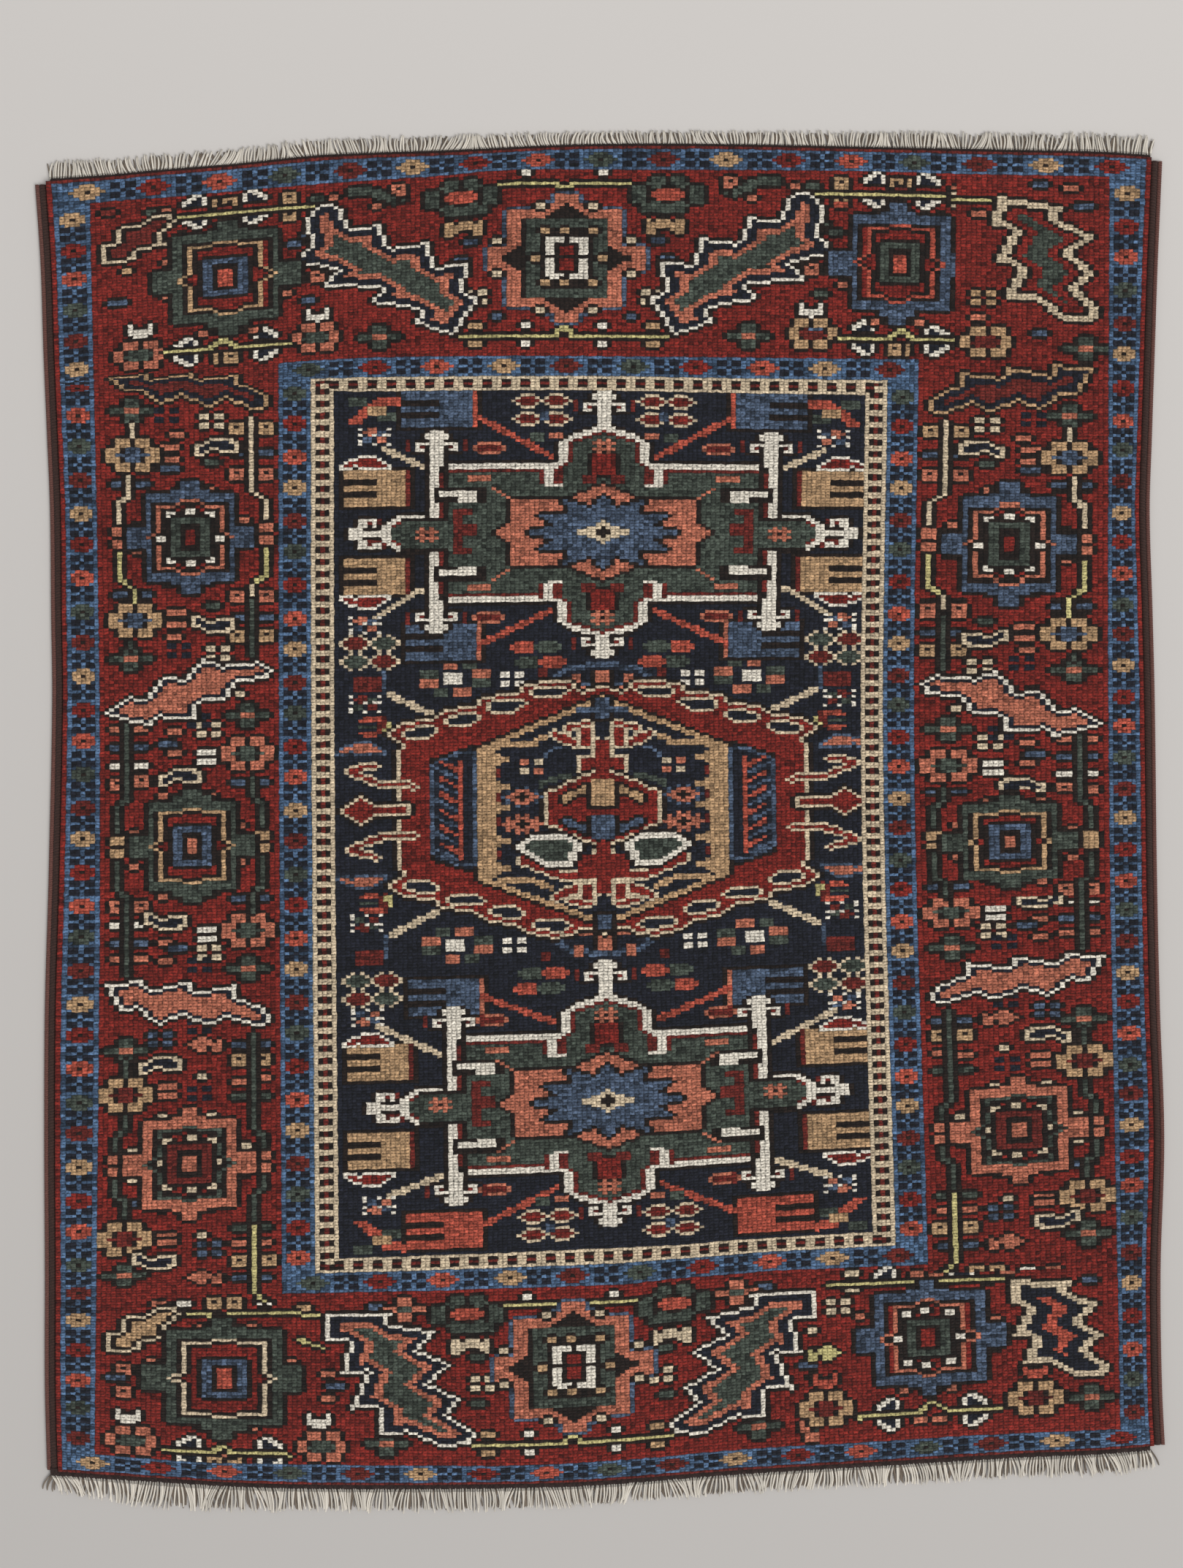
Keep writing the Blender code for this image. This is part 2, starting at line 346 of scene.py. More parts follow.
def grow(mask, steps):
    """The mask with its neighbours on all four sides added, some number of times."""
    for _ in range(steps):
        wider = mask.copy()
        wider[1:] |= mask[:-1]
        wider[:-1] |= mask[1:]
        wider[:, 1:] |= mask[:, :-1]
        wider[:, :-1] |= mask[:, 1:]
        mask = wider
    return mask


def shrink(mask, steps):
    """The mask without the knots at its outline, some number of times."""
    return ~grow(~mask, steps)


ROSETTE = """
.ooo.
ooooo
ooKoo
ooooo
.ooo.
"""

WIDE_ROSETTE = """
..ooo..
.ooooo.
oooKooo
.ooooo.
..ooo..
"""

GUARD_BLOCK = """
NN.NN
NN.NN
..N..
NN.NN
NN.NN
"""

# A stem's hooked end, pointing up.
FINIAL = """
....KWWWK....
...KWWWWWK...
...KWWWWWK...
D.KKKWWWKKK.D
D.WWWWWWWWW.D
D.WDKWWWKDW.D
D.WWKWWWKWW.D
.KKKKWWWKKKK.
"""

# The same, at the end of the left point, and lying on its side.
SIDE_FINIAL = """
...KKKK...
..KWWWWD..
..KWWDWD..
..KWWKWK..
KWWWKKKKWW
KWWWWWWWWW
KWWWWWWWWW
KWWWKKKKWW
..KWWDDD..
..KWWDWWD.
..KWWWWWD.
...KKKKK..
"""

LENS = """
..III..
.IDDDI.
IDRRRDI
.IDDDI.
..III..
"""

SMALL_FLOWER = """
..I.I..
.IoooI.
IoooooI
IoooooI
.IoooI.
..I.I..
"""

EIGHT_PETALS = """
.....PPP.GGG...
.....PPP.GGG...
.....PPP.GGG...
GGGG.......PPPP
GGGG.WWWW..PPPP
GGGG.WWWW..PPPP
PPPP.WWWW..GGGG
PPPP.WWWW..GGGG
PPPP.......GGGG
...GGG.PPPP....
...GGG.PPPP....
...GGG.PPPP....
"""

DOTTED_SQUARE = """
W.oo..W
.ooopp.
W.oWpWW
.pp.oo.
Wpp.oo.
W..W..W
"""

BOAT = """
....WWWW...
..WWRRRRW..
.WRRRRRRRW.
WRRWRRRRRRW
WWW.WWWWWWW
"""

RING = """
.PPPPP.
PDDDDDP
PDDDDDP
.PPPPP.
"""

OPEN_FLOWER = """
.P.P.
PPPPP
.PKP.
PPPPP
.P.P.
"""

STAR_RING = """
...B.B...
.B.PPP.B.
.BPPKPPB.
BPPKKKPPB
.BPPKPPB.
.B.PPP.B.
...B.B...
"""

LETTER = """
..CCCCD.
.CCCCCD.
.....DDY
.GGGGDDY
.....DYY
.CCCCDYY
..CCC.D.
"""

BUTTERFLY = """
..WW.
.WWNW
WWNNW
WNNNW
"""

CROWN = """
W...W
W...W
WWWWW
WWWWW
.WWW.
"""

PETALS = """
..ooo.ooo..
..ooo.ooo..
..ooo.ooo..
ooo.xxx.ooo
ooo.xxx.ooo
ooxxxxxxxoo
ooo.xxx.ooo
ooo.xxx.ooo
..ooo.ooo..
..ooo.ooo..
..ooo.ooo..
"""

SIX_PETALS = """
..ooo.ooo.
..ooo.ooo.
..oooKooo.
ooKxxxxKoo
ooKxxxxxoo
ooxxxxxxoo
ooKxxxxKoo
..oooKooo.
..ooo.ooo.
..ooo.ooo.
"""

CROSS = """
...xxx...
...xxx...
...xxx...
xxxoooxxx
xxxoooxxx
...xxx...
...xxx...
...xxx...
"""

SQUARE = """
ooo
oKo
ooo
ooo
"""

BAR = """
oooo
oooo
"""

CHIP = """
ooo
ooo
"""

DOT = """
oo
oo
"""

LOZENGE = """
ooo
ooo
ooo
.K.
ooo
ooo
ooo
"""

BIRD = """
...IIIII.
..INNNNII
IINNNNNNI
INNIINNNI
INI..IIII
II.......
"""

LADY_FLOWER = """
....ooo.ooo....
....ooo.ooo....
...oooo.oooo...
oooKoo..KooKooo
oooKKxxxxxKKooo
oooKxxxxxxxKooo
oooKxxxxxxxKooo
oooKKxxxxxKKooo
oooKooKKKooKooo
...oooooooooo..
....ooooooooo..
....ooooooooo..
"""

BRIDGE = """
oo.ooo.o
oooooooo
oooooooo
ooo...oo
oo....oo
"""

SPRIG = """
..oo...
.oooo.o
ooooooo
.ooo.oo
..oo.oo
"""

FOUR_DOTS = """
oo.oo
oo.oo
.....
oo.oo
oo.oo
"""

# The column of the field's axis, a star's hollows and a saw-edged leaf's tooth roots, both as
# parts of the full reach.
AXIS = 113.5
HOLLOW = 0.66
ROOT = 0.5


def both(points):
    """A left half outline and its mirror image in the field's axis, as one closed outline."""
    return points + [(2 * AXIS - x, y) for x, y in reversed(points)]


def four_ways(quarter):
    """A closed outline about the origin, from its upper right quarter turned over both ways."""
    right = quarter + [(x, -y) for x, y in reversed(quarter)]
    return right + [(-x, y) for x, y in reversed(right)]


def burst(col, row, wide, high, points):
    """A star's outline: even points on an oval, with hollows at HOLLOW of its half sizes."""
    outline = []
    for i in range(2 * points):
        turn = math.pi * i / points
        reach = HOLLOW if i % 2 else 1.0
        outline.append((col + wide * reach * math.sin(turn), row - high * reach * math.cos(turn)))
    return outline


def saw_leaf(base, tip, half, bend, teeth):
    """A saw-edged leaf's outline. Its spine goes from base to tip and sways by
    bend * sin(2 pi t), its half width is half * sin(pi t) ** 0.6, and on both sides even teeth
    lean to the tip, with roots at ROOT of that width."""
    length = math.hypot(tip[0] - base[0], tip[1] - base[1])
    along = ((tip[0] - base[0]) / length, (tip[1] - base[1]) / length)

    def spot(t, out):
        sway = bend * math.sin(2 * math.pi * t) + out * half * math.sin(math.pi * t) ** 0.6
        return (base[0] + along[0] * length * t - along[1] * sway,
                base[1] + along[1] * length * t + along[0] * sway)

    first, second = [], []
    for i in range(teeth):
        for t, share in ((i / teeth, ROOT), ((i + 0.75) / teeth, 1.0)):
            first.append(spot(t, share))
            second.append(spot(t, -share))
    return first + [tip] + second[::-1]


def comb(chart, col, row, teeth, body, dye, bar):
    """A comb whose three teeth point left, with a bar of another dye on its back."""
    chart.block("K", col - 1, row - 1, teeth + body + 3, 14)
    chart.block(dye, col + teeth, row, body, 12)
    for start, high in ((0, 3), (5, 2), (9, 3)):
        chart.block(dye, col, row + start, teeth, high)
    chart.block(bar, col + teeth + body, row, 1, 12)


def hook(chart, points, dye="R", edge="I"):
    """A latch hook: a stem two knots thick with light knots round it."""
    chart.path(points, dye, 2, edge)


def medallion(chart, middle, stem):
    """One green medallion with hooked stems, the same upwards and downwards. middle is its
    middle row, and stem the column of its outer stems."""
    upper = [(AXIS, -36), (108, -33), (104, -30), (104, -23), (stem, -23), (stem, -6),
             (stem - 6, -6), (stem - 9, -3), (stem - 14, -2)]
    half = upper + [(x, -y) for x, y in reversed(upper)]
    chart.shape(both([(x, middle + y) for x, y in half]),
                ("K", -1), ("W", 0), ("D", 2), ("G", 3))
    chart.blocks([
        ("K", stem - 1, middle - 26, 5, 53), ("W", stem, middle - 26, 3, 4),
        ("W", stem, middle - 26, 2, 53), ("W", stem, middle + 22, 3, 5),
        ("D", stem + 2, middle - 20, 1, 40),
    ])
    chart.stamp(FINIAL, stem + 1.5, middle - 29.5)
    chart.stamp(FINIAL, stem + 1.5, middle + 29, "y")
    chart.block("W", 112, middle - 40, 3, 5)
    chart.block("W", 112, middle + 34, 3, 5)
    chart.stamp(FINIAL, AXIS, middle - 43)
    chart.stamp(FINIAL, AXIS, middle + 38, "y")
    chart.stamp(SIDE_FINIAL, stem - 13, middle)
    chart.block("K", stem - 6, middle - 5, 10, 11)
    chart.block("G", stem - 6, middle - 4, 10, 9)
    chart.stamp(OPEN_FLOWER, stem - 1, middle)
    for side in (-1, 1):
        line = middle + side * 13
        chart.blocks([
            ("K", stem + 1, line - 2, 11, 5), ("W", stem + 2, line - 1, 8, 2),
            ("W", stem + 6, line + (1 if side < 0 else -2), 4, 2),
            ("P", stem + 8, middle + side * 18 - 1, 5, 2),
        ])
        hooked = middle - 21 if side < 0 else middle + 17
        chart.blocks([
            ("D", 100, hooked, 5, 5), ("W", 101, hooked, 2, 6),
            ("W", 102, hooked + 5 if side < 0 else hooked - 1, 3, 1),
        ])
    chart.blocks([
        ("D", stem + 5, middle - 8, 2, 15), ("D", stem + 5, middle - 8, 4, 2),
        ("D", stem + 5, middle - 3, 5, 4), ("D", stem + 5, middle + 5, 4, 2),
    ])
    for end in (-1, 1):
        near, far = sorted((middle + end * 19, middle + end * 26))
        chart.shape(both([(111, near), (111, far)]), ("K", -1), ("R", 0))
    for end in (-1, 1):
        chart.stamp(OPEN_FLOWER, AXIS, middle + end * 28.5)
        chart.block("D", 109, middle + end * 18 - 1, 3, 3)
    corner = [(AXIS, -16), (106, -11), (94, -11), (94, -3), (91, 0)]
    side = corner + [(x, -y) for x, y in reversed(corner)]
    chart.shape(both([(x, middle + y) for x, y in side]), ("K", -1), ("P", 0))
    for end in (-1, 1):
        for step in range(4):
            chart.block("P", 93 - step, middle + end * (12 + step), 1, 1)
    chart.shape(burst(AXIS, middle, 16.5, 12.5, 12), ("K", -1), ("B", 0))
    chart.shape(burst(AXIS, middle, 6, 4, 4), ("I", 0), ("K", 2))


def field_group(chart, middle, up, stem, comb_dye):
    """A medallion and the figures round it, on the left: up is 1 for the upper medallion and -1
    for the lower one, whose figures run the other way."""

    def at(offset):
        return int(middle + up * offset)

    flip = "" if up > 0 else "y"
    comb(chart, 71, at(-41) - 6, 8, 7, comb_dye, "C")
    comb(chart, 72, at(36) - 6, 8, 7, "B", "P")
    comb(chart, 59, middle - 21, 7, 6, "T", "D")
    comb(chart, 59, middle + 8, 7, 6, "T", "D")
    chart.path([(86, at(-40)), (stem + 26, at(-25))], "C", 2, None)
    chart.path([(87, at(37)), (stem + 26, at(25))], "C", 2, None)
    chart.path([(67, at(-29)), (stem - 1, at(-22))], "I", 2, None)
    chart.path([(65, at(28)), (stem - 2, at(18))], "I", 2, None)
    for col in (97.5, 104):
        for row in (-43, -38):
            chart.stamp(LENS, col, at(row))
    chart.block("B", 100, at(-40), 2, 3)
    chart.stamp(DOTTED_SQUARE, 65, at(-32), flip, {"o": "P", "p": "B"})
    chart.stamp(DOTTED_SQUARE, 64, at(30), flip, {"o": "P", "p": "B"})
    chart.stamp(BOAT, 63.5, at(-24), flip)
    chart.stamp(BOAT, 63, at(23), "y" if up > 0 else "")
    chart.stamp(RING, 89, at(-28))
    chart.stamp(RING, 89.5, at(28))
    for col, row, dye in ((61.5, 36, "D"), (67.5, 36, "G"), (61.5, 42, "G"), (67.5, 42, "D")):
        chart.stamp(SMALL_FLOWER, col, at(row), "", {"o": dye})
    for col, row, dye in ((97, 38, "C"), (102, 38, "G"), (98, 43, "G"), (103, 43, "C")):
        chart.block(dye, col - 2, at(row) - 2, 4, 4)
        chart.block(dye, col - 3, at(row) - 1, 6, 2)
    chart.block("G", 98, at(-32) - 1, 3, 3)
    chart.block("P", 102, at(-32) - 1, 3, 2)
    chart.path([(60, at(-37)), (66, at(-44)), (70, at(-45))], "C", 3, None)
    chart.blocks([
        ("G", 60, at(-45), 4, 3), ("G", 66, at(-40), 4, 3), ("T", 64, at(-42), 4, 3),
    ])
    medallion(chart, middle, stem)


# A claw of the hexagon and the hole in it, from the claw's place, and how many a side has.
CLAW = [(-4, 3), (-8, -2), (-6, -5), (0, -7), (4, -6), (6, -3), (5, 3)]
CLAW_EYE = [(-4, -1), (-4, -3), (1, -4), (3, -3), (1, -1)]
CLAWS = 4


def central(chart):
    """The red hexagon in the middle of the field, with latch hooks outside and a double-horned
    stem inside."""
    body = chart.mask(both([(AXIS, 179), (70, 199), (70, 239), (AXIS, 262)]))
    eyes = np.zeros((NY, NX), bool)
    for i in range(CLAWS):
        col = 76 + i * 9
        for row, up in ((196 - i * 4.2, 1), (242 + i * 4.6, -1)):
            body |= chart.mask([(col + x, row + up * y) for x, y in CLAW])
            eyes |= chart.mask([(col + x, row + up * y) for x, y in CLAW_EYE])
    chart.fill(body, ("K", -1), ("I", 0), ("R", 1))
    chart.fill(eyes, ("I", -1), ("N", 0))
    arrow = [(58, 219), (63, 214), (65, 217), (73, 217), (73, 221), (65, 221), (63, 224)]
    chart.shape(arrow, ("K", -1), ("I", 0), ("R", 1))
    for side in (-1, 1):
        points = [(73, 8), (66, 9), (60, 13), (65, 15)]
        chart.path([(x, 219 + side * y) for x, y in points], "R", 1, "I")
    core = both([(113.5, 180), (72, 200), (72, 238), (113.5, 261)])
    chart.shape(core, ("R", 3), ("K", 5), ("N", 6))
    chart.block("R", 111, 181, 5, 4)
    inner = both([(113.5, 182), (87.5, 199), (87.5, 243), (113.5, 259)])
    chart.shape(inner, ("K", -1), ("T", 0), ("N", 2))
    chart.block("T", 88, 199, 3, 43)
    for row in (202, 211, 218, 229, 238):
        chart.block("T", 91, row - 1, 1, 4)
        chart.block("T", 92, row, 2, 2)
    for row in (206, 214, 222, 233):
        chart.block("D", 91, row, 1, 3)
    chart.path([(91, 198), (99, 197), (101, 195)], "T", 2, None)
    chart.path([(91, 242), (99, 243), (102, 245)], "T", 2, None)
    chart.path([(82, 201), (77, 205), (77, 233), (82, 237)], "B", 1, None)
    chart.blocks([
        ("B", 82, 200, 5, 1), ("B", 82, 237, 5, 1), ("B", 86, 200, 1, 38), ("C", 83, 203, 1, 33),
    ])
    for i in range(6):
        row = 203 + i * 5.4
        chart.path([(79, row), (83, row + 3.4)], "C", 1, None)
        chart.path([(78, row + 2), (82, row + 5.4)], "B", 1, None)
    horn = ((112, 197.5), (107, 197), (103.5, 194.5))
    for turn in (1, -1):

        def row(value):
            return value if turn > 0 else 443 - value

        hook(chart, [(x, row(y)) for x, y in horn])
        hook(chart, [(109.5, row(198)), (109.5, row(191.5))])
        chart.path([(110, row(191.5)), (106, row(193))], "R", 1, "I")
    hook(chart, [(112, 241.5), (104, 241), (96, 235.5)])
    chart.blocks([
        ("I", 111, 198, 5, 12), ("I", 111, 229, 5, 20), ("I", 108, 202, 11, 6),
        ("R", 109, 203, 9, 4), ("R", 108, 235, 11, 8), ("N", 113, 191, 1, 6),
        ("N", 113, 248, 1, 6),
    ])
    core = both([(113.5, 206), (110, 208), (101.5, 214), (101.5, 225), (110, 231), (113.5, 233)])
    chart.shape(core, ("K", -1), ("I", 0), ("R", 1))
    chart.block("R", 112, 197, 3, 16)
    chart.block("R", 112, 226, 3, 22)
    chart.path([(112, 211), (105.5, 216)], "T", 2, "K")
    chart.path([(112, 228), (105.5, 223)], "B", 2, "K")
    chart.blocks([
        ("K", 110, 211, 7, 9), ("T", 111, 210, 5, 9), ("K", 110, 222, 7, 7), ("B", 111, 222, 5, 8),
        ("K", 111, 183, 5, 8), ("B", 112, 183, 3, 7), ("B", 108, 186, 11, 2),
        ("K", 111, 254, 5, 7), ("B", 112, 255, 3, 5),
    ])
    leaf = [(94, 232), (99, 228), (106, 228), (109, 232), (107, 239), (102, 239)]
    chart.shape(leaf, ("K", -1), ("W", 0), ("D", 2), ("G", 2))
    chart.stamp(STAR_RING, 96, 215)
    chart.stamp(STAR_RING, 96, 224.5, "", {"P": "B", "B": "P"})
    chart.stamp(FOUR_DOTS, 98, 205.5, "", {"o": "P"})
    chart.block("I", 99, 203, 2, 2)
    chart.block("I", 96, 206, 2, 2)
    chart.path([(100, 211), (106, 208)], "G", 2, None)
    chart.path([(101, 202), (104, 199)], "B", 1, None)


def between_groups(chart, row, up):
    """The figures between a medallion and the middle hexagon, on the left."""

    def at(offset):
        return int(row + up * offset)

    flip = "" if up > 0 else "y"
    chart.stamp(EIGHT_PETALS, 82.5, at(0), flip)
    chart.stamp(FOUR_DOTS, 94, at(0), "", {"o": "W"})
    chart.path([(67, at(3)), (81, at(14))], "I", 2, None)
    chart.block("D", 61, at(-1), 6, 5)
    chart.block("B", 67, at(-3) if up > 0 else at(4), 1, 8)
    chart.stamp(DOTTED_SQUARE, 63, at(8), flip, {"o": "D", "p": "G"})
    chart.stamp(LETTER, 65, at(15), flip)
    chart.stamp(BOAT, 62.5, at(22), flip, {"W": "B", "R": "P"})
    arch = both([(113.5, at(-5)), (107, at(-4)), (103, at(0)), (104, at(4)), (113.5, at(4))])
    chart.shape(arch, ("B", 0), ("N", 2))
    chart.blocks([
        ("P", 107, at(-1), 2, 4), ("P", 107, at(3), 6, 1), ("K", 111, min(at(-2), at(6)), 5, 9),
        ("P", 112, min(at(-2), at(6)), 3, 9), ("D", 100, at(-3), 2, 3),
    ])


def paint_field(chart):
    """The navy field: two green medallions, the red hexagon between them and the small
    figures, worked on the left and turned over the axis to the right."""
    chart.block("N", 56, 80, 115, 287)
    between_groups(chart, 176, 1)
    between_groups(chart, 264, -1)
    central(chart)
    field_group(chart, 128, 1, 77, "B")
    field_group(chart, 317, -1, 80, "C")
    left = chart.knots[80:367, 57:113]
    chart.knots[80:367, 114:170] = left[:, ::-1]


# The outer and inner rings of a border rosette, in parts of its half width and height.
RING_OUTLINE = four_ways([(0.17, -1.3), (0.17, -1.1), (0.38, -1.1), (0.38, -1), (1, -1),
                          (1, -0.27), (1.38, -0.27)])
INNER_OUTLINE = four_ways([(0.15, -0.86), (0.3, -0.76), (0.7, -0.76), (0.7, -0.17), (0.95, 0)])


def box(wide, high):
    """A rectangle's outline about the origin, from its half width and height."""
    return [(-wide, -high), (wide, -high), (wide, high), (-wide, high)]


def rosette(chart, col, row, wide, high, outer, ring, square, heart, chips=None):
    """A border rosette: an outer ring with four arms, a pointed ring in it, a square ring and a
    middle, each in its own dye. wide and high are the outer ring's half sizes."""

    def placed(points, across=wide, along=high):
        return [(col + x * across, row + y * along) for x, y in points]

    chart.shape(placed(RING_OUTLINE), ("K", -1), (outer, 0))
    chart.shape(placed(box(0.82, 0.82)), ("K", 0), ("R", 1))
    chart.shape(placed(INNER_OUTLINE), (ring, 0), ("K", 1), ("R", 2))
    if chips:
        for x, y in ((-0.42, -0.55), (0, -0.6), (0.42, -0.55), (-0.42, 0.55), (0, 0.6),
                     (0.42, 0.55), (-0.6, 0), (0.6, 0)):
            chart.stamp(DOT, col + x * wide, row + y * high, "", {"o": chips}, "K")
    chart.shape(placed(box(0.42, 0.43)), ("K", -1), (square, 0), ("K", 2))
    chart.shape(placed(box(0.13, 0.2)), (heart, 0))


# Rows at which the right border's figures lie, and those of the same figures on the left.
RIGHT_ROWS = [66, 110, 117.5, 131.5, 148, 157, 169, 186, 212, 219, 234, 250, 256, 381]
LEFT_ROWS = [66, 110, 116, 128.5, 143, 150, 162.5, 178, 203.5, 212.5, 229.5, 248, 255.5, 381]


def stems(chart, table):
    """Plant stems one knot thick, with a dark knot on each side: a dye, then points."""
    for dye, *points in table:
        chart.path(points, dye, 1, "K")


def side_border(chart):
    """The left border between the corners: three leaves, three rosettes and flowering stems.
    The right border is this one turned over."""
    chart.figures([
        (CROSS, "PG", (15.5, 87), (15, 168), (38, 187), (38, 270), (13.3, 296), (13.5, 370)),
        (SQUARE, "T", (36.5, 93), (42.5, 93), (36.5, 161), (42.5, 161), (36.5, 300.5),
         (42, 300.5), (36.5, 366), (42.5, 366)),
        (SQUARE, "P", (36.5, 108), (42.5, 108), (36.5, 147.5), (42.5, 148), (11.5, 209),
         (16.5, 208.5), (11.5, 249), (16.5, 249)),
        (CHIP, "B", (36.5, 101), (42.5, 101), (36.5, 154.5), (42.5, 154.5), (12.5, 110.5),
         (17.5, 110.5), (12.5, 146.5), (17.5, 146.5), (36.5, 209.5), (41.5, 209.5),
         (36.5, 247.5), (41.5, 247.5), (11.5, 196.5), (16.5, 196.5), (11.5, 260.5),
         (16.5, 260.5), (36.5, 294.5), (41.5, 294.5), (36.5, 372), (42, 372)),
        (CHIP, "P", (11.5, 191), (16.5, 191), (11.5, 266), (16.5, 266), (36.5, 306.5),
         (41.5, 306), (36.5, 360), (42, 360), (24.5, 94.5), (24, 160.5), (23.5, 192),
         (24, 199), (22, 267), (21.5, 261)),
        (CHIP, "W", (11.5, 202.5), (16.5, 202.5), (11.5, 255.5), (16.5, 255.5)),
        (CHIP, "G", (32, 104), (31, 151), (36.5, 312), (41.5, 312), (36.5, 354.5), (42, 354.5)),
        (BAR, "P", (23, 99.5), (23, 102.5), (23.5, 153.5), (23.5, 156.5), (22, 308),
         (22, 311), (22, 356.5), (22, 358.5)),
        (BAR, "W", (30.5, 199), (30.5, 202), (30.5, 257), (30.5, 260)),
        (BAR, "B", (21.5, 196), (24, 263.5), (13.5, 346), (23, 106)),
        (FOUR_DOTS, "I", (31.5, 91), (32, 167), (30.5, 191.5), (30.5, 264)),
        (FOUR_DOTS, "B", (20.5, 292.5), (30.5, 361.5)),
        (DOT, "I", (29.5, 304.5), (29, 357.5), (37, 180)),
    ])
    chart.figures([(FOUR_DOTS, "N", (23, 89), (24, 165.5), (28.5, 269), (28.5, 311),
                    (28, 188), (28.5, 288))], None)
    chart.figures([
        (PETALS, "TB", (15.5, 101.5), (15.5, 156)),
        (PETALS, "PG", (38.5, 200), (38.5, 257.5)),
        (PETALS, "TD", (14, 310.5), (14, 357)),
        (BIRD, "", (32, 98.5), (31.5, 156.5, "y"), (24, 206.5), (21.5, 254, "y"),
         (20, 301.5), (19.5, 365, "y")),
        (SPRIG, "P", (29, 295), (30, 371.5)),
    ])
    stems(chart, [
        ("I", (39, 89), (39, 113), (42, 116), (42, 123)), ("Y", (42, 131), (42, 141), (39, 145)),
        ("I", (39, 144), (39, 149)), ("G", (39, 149), (39, 167)), ("I", (15, 91), (15, 95)),
        ("I", (14.5, 108), (14.5, 115), (12.5, 117), (12.5, 124)),
        ("Y", (12.5, 132), (12.5, 142), (15, 145), (15, 149)), ("G", (14.5, 162), (14.5, 164)),
        ("G", (13.5, 188), (13.5, 214), (11, 217), (11, 224)),
        ("G", (11, 234), (11, 243), (13.5, 246), (13.5, 271)),
        ("G", (39, 207), (39, 213), (41.5, 216), (41.5, 223)),
        ("G", (41.5, 233), (41.5, 243), (39, 246), (39, 251)),
        ("G", (39, 291), (39, 322), (41.5, 325), (41.5, 342), (39, 345), (39, 354)),
        ("Y", (39, 354), (39, 376), (41, 380)), ("G", (13.5, 299), (13.5, 304)),
        ("G", (13.5, 317), (13.5, 322), (11, 325), (11, 343), (13.5, 345), (13.5, 350)),
    ])
    chart.figures([
        (LOZENGE, "P", (12.5, 128.5), (42.5, 127.5), (11, 334), (42, 333)),
        (LOZENGE, "T", (11.5, 229.5), (42, 228.5)),
        (DOT, "P", (16, 124.5), (16, 132.5), (38, 122.5), (38, 131.5), (22, 115), (31.5, 113),
         (22, 142.5), (31.5, 142.5), (15, 224.5), (15, 236), (37.5, 223), (37.5, 234.5),
         (21, 213.5), (31, 213), (21, 246), (31, 245)),
        (DOT, "I", (21, 318), (31, 318), (15, 329), (15, 338), (38, 328), (38, 337.5),
         (21, 348), (31, 348)),
    ])
    rosette(chart, 27, 128.5, 9.3, 14.2, "B", "P", "G", "R", "W")
    rosette(chart, 27, 229.5, 9.3, 14.6, "G", "T", "B", "P")
    rosette(chart, 26.5, 333.5, 9.6, 14.5, "P", "G", "D", "P", "I")
    chart.shape(saw_leaf((11, 71), (43, 86), 8, 2, 4), ("K", -1), ("T", 0), ("N", 1), ("D", 3))
    for base, tip in (((9, 186), (44, 172)), ((9, 274), (43, 288))):
        chart.shape(saw_leaf(base, tip, 8, 2, 4), ("K", -1), ("W", 0), ("N", 1), ("P", 2))
    rows = np.arange(66, 381)
    same = np.rint(np.interp(rows, RIGHT_ROWS, LEFT_ROWS)).astype(int)
    chart.knots[rows, 180:217] = chart.knots[same, 8:45][:, ::-1]


def top_border(chart):
    """The upper border's left part. Its right part is this one turned over, with other dyes."""
    chart.figures([
        (BUTTERFLY, "", (28, 10.5), (28, 18, "y"), (41, 10.5, "x"), (41, 18, "xy"),
         (26, 59.5), (26, 66.5, "y"), (43, 58.5, "x"), (43, 65.5, "xy")),
        (SQUARE, "T", (33, 11.5), (36, 11.5), (48, 12), (47.5, 18.5), (33, 65.5), (36, 65.5)),
        (CHIP, "D", (34.5, 14), (34.5, 62), (12, 12)),
        (CHIP, "G", (20.5, 13), (54, 13), (70.5, 15)),
        (DOT, "P", (23, 13), (56.5, 13), (26, 22), (23, 31), (23, 43.5), (47, 45), (30, 57),
         (40, 57), (66, 17)),
        (DOT, "T", (14.5, 33.5)),
        (CHIP, "B", (51, 24.5), (48.5, 28), (51.5, 48), (85, 30.5), (83, 36.5), (84, 41.5)),
        (SQUARE, "P", (53.5, 40), (70.5, 11.5)),
        (CROWN, "", (17.5, 55), (53.5, 53.5)),
        (SIX_PETALS, "PG", (17, 62.5), (53, 61.5)),
        (CROSS, "PG", (66, 62)),
        (BAR, "B", (13, 44), (56, 37.5)),
        (FOUR_DOTS, "I", (86, 49.5)),
        (DOT, "B", (90.5, 56)),
        (CHIP, "T", (86.5, 59), (86.5, 65)),
        (DOT, "W", (96.5, 9.5), (97, 58.5), (97, 65)),
        (LADY_FLOWER, "GC", (84, 16)),
        (BRIDGE, "T", (84, 27)),
    ])
    chart.path([(60.5, 10), (64, 10), (69, 14)], "G", 3, "K")
    stems(chart, [
        ("Y", (24, 15.5), (54, 15.5)),
        ("Y", (22, 62.5), (31, 62.5), (34, 59.5), (37, 62.5), (47, 62.5)),
        ("Y", (83, 62), (103, 62), (105, 58.5)), ("Y", (91, 12.5), (103, 12.5), (105, 14)),
    ])
    chart.shape(saw_leaf((10, 30), (24, 14), 6, 0, 3), ("K", -1), ("I", 0), ("K", 1), ("D", 2))
    long_leaf = saw_leaf((82, 62), (54, 15), 13, 4, 5)
    chart.shape(long_leaf, ("K", -1), ("W", 0), ("N", 1), ("P", 3), ("G", 5))
    rosette(chart, 34.7, 37.8, 10.8, 15.3, "G", "T", "B", "C")


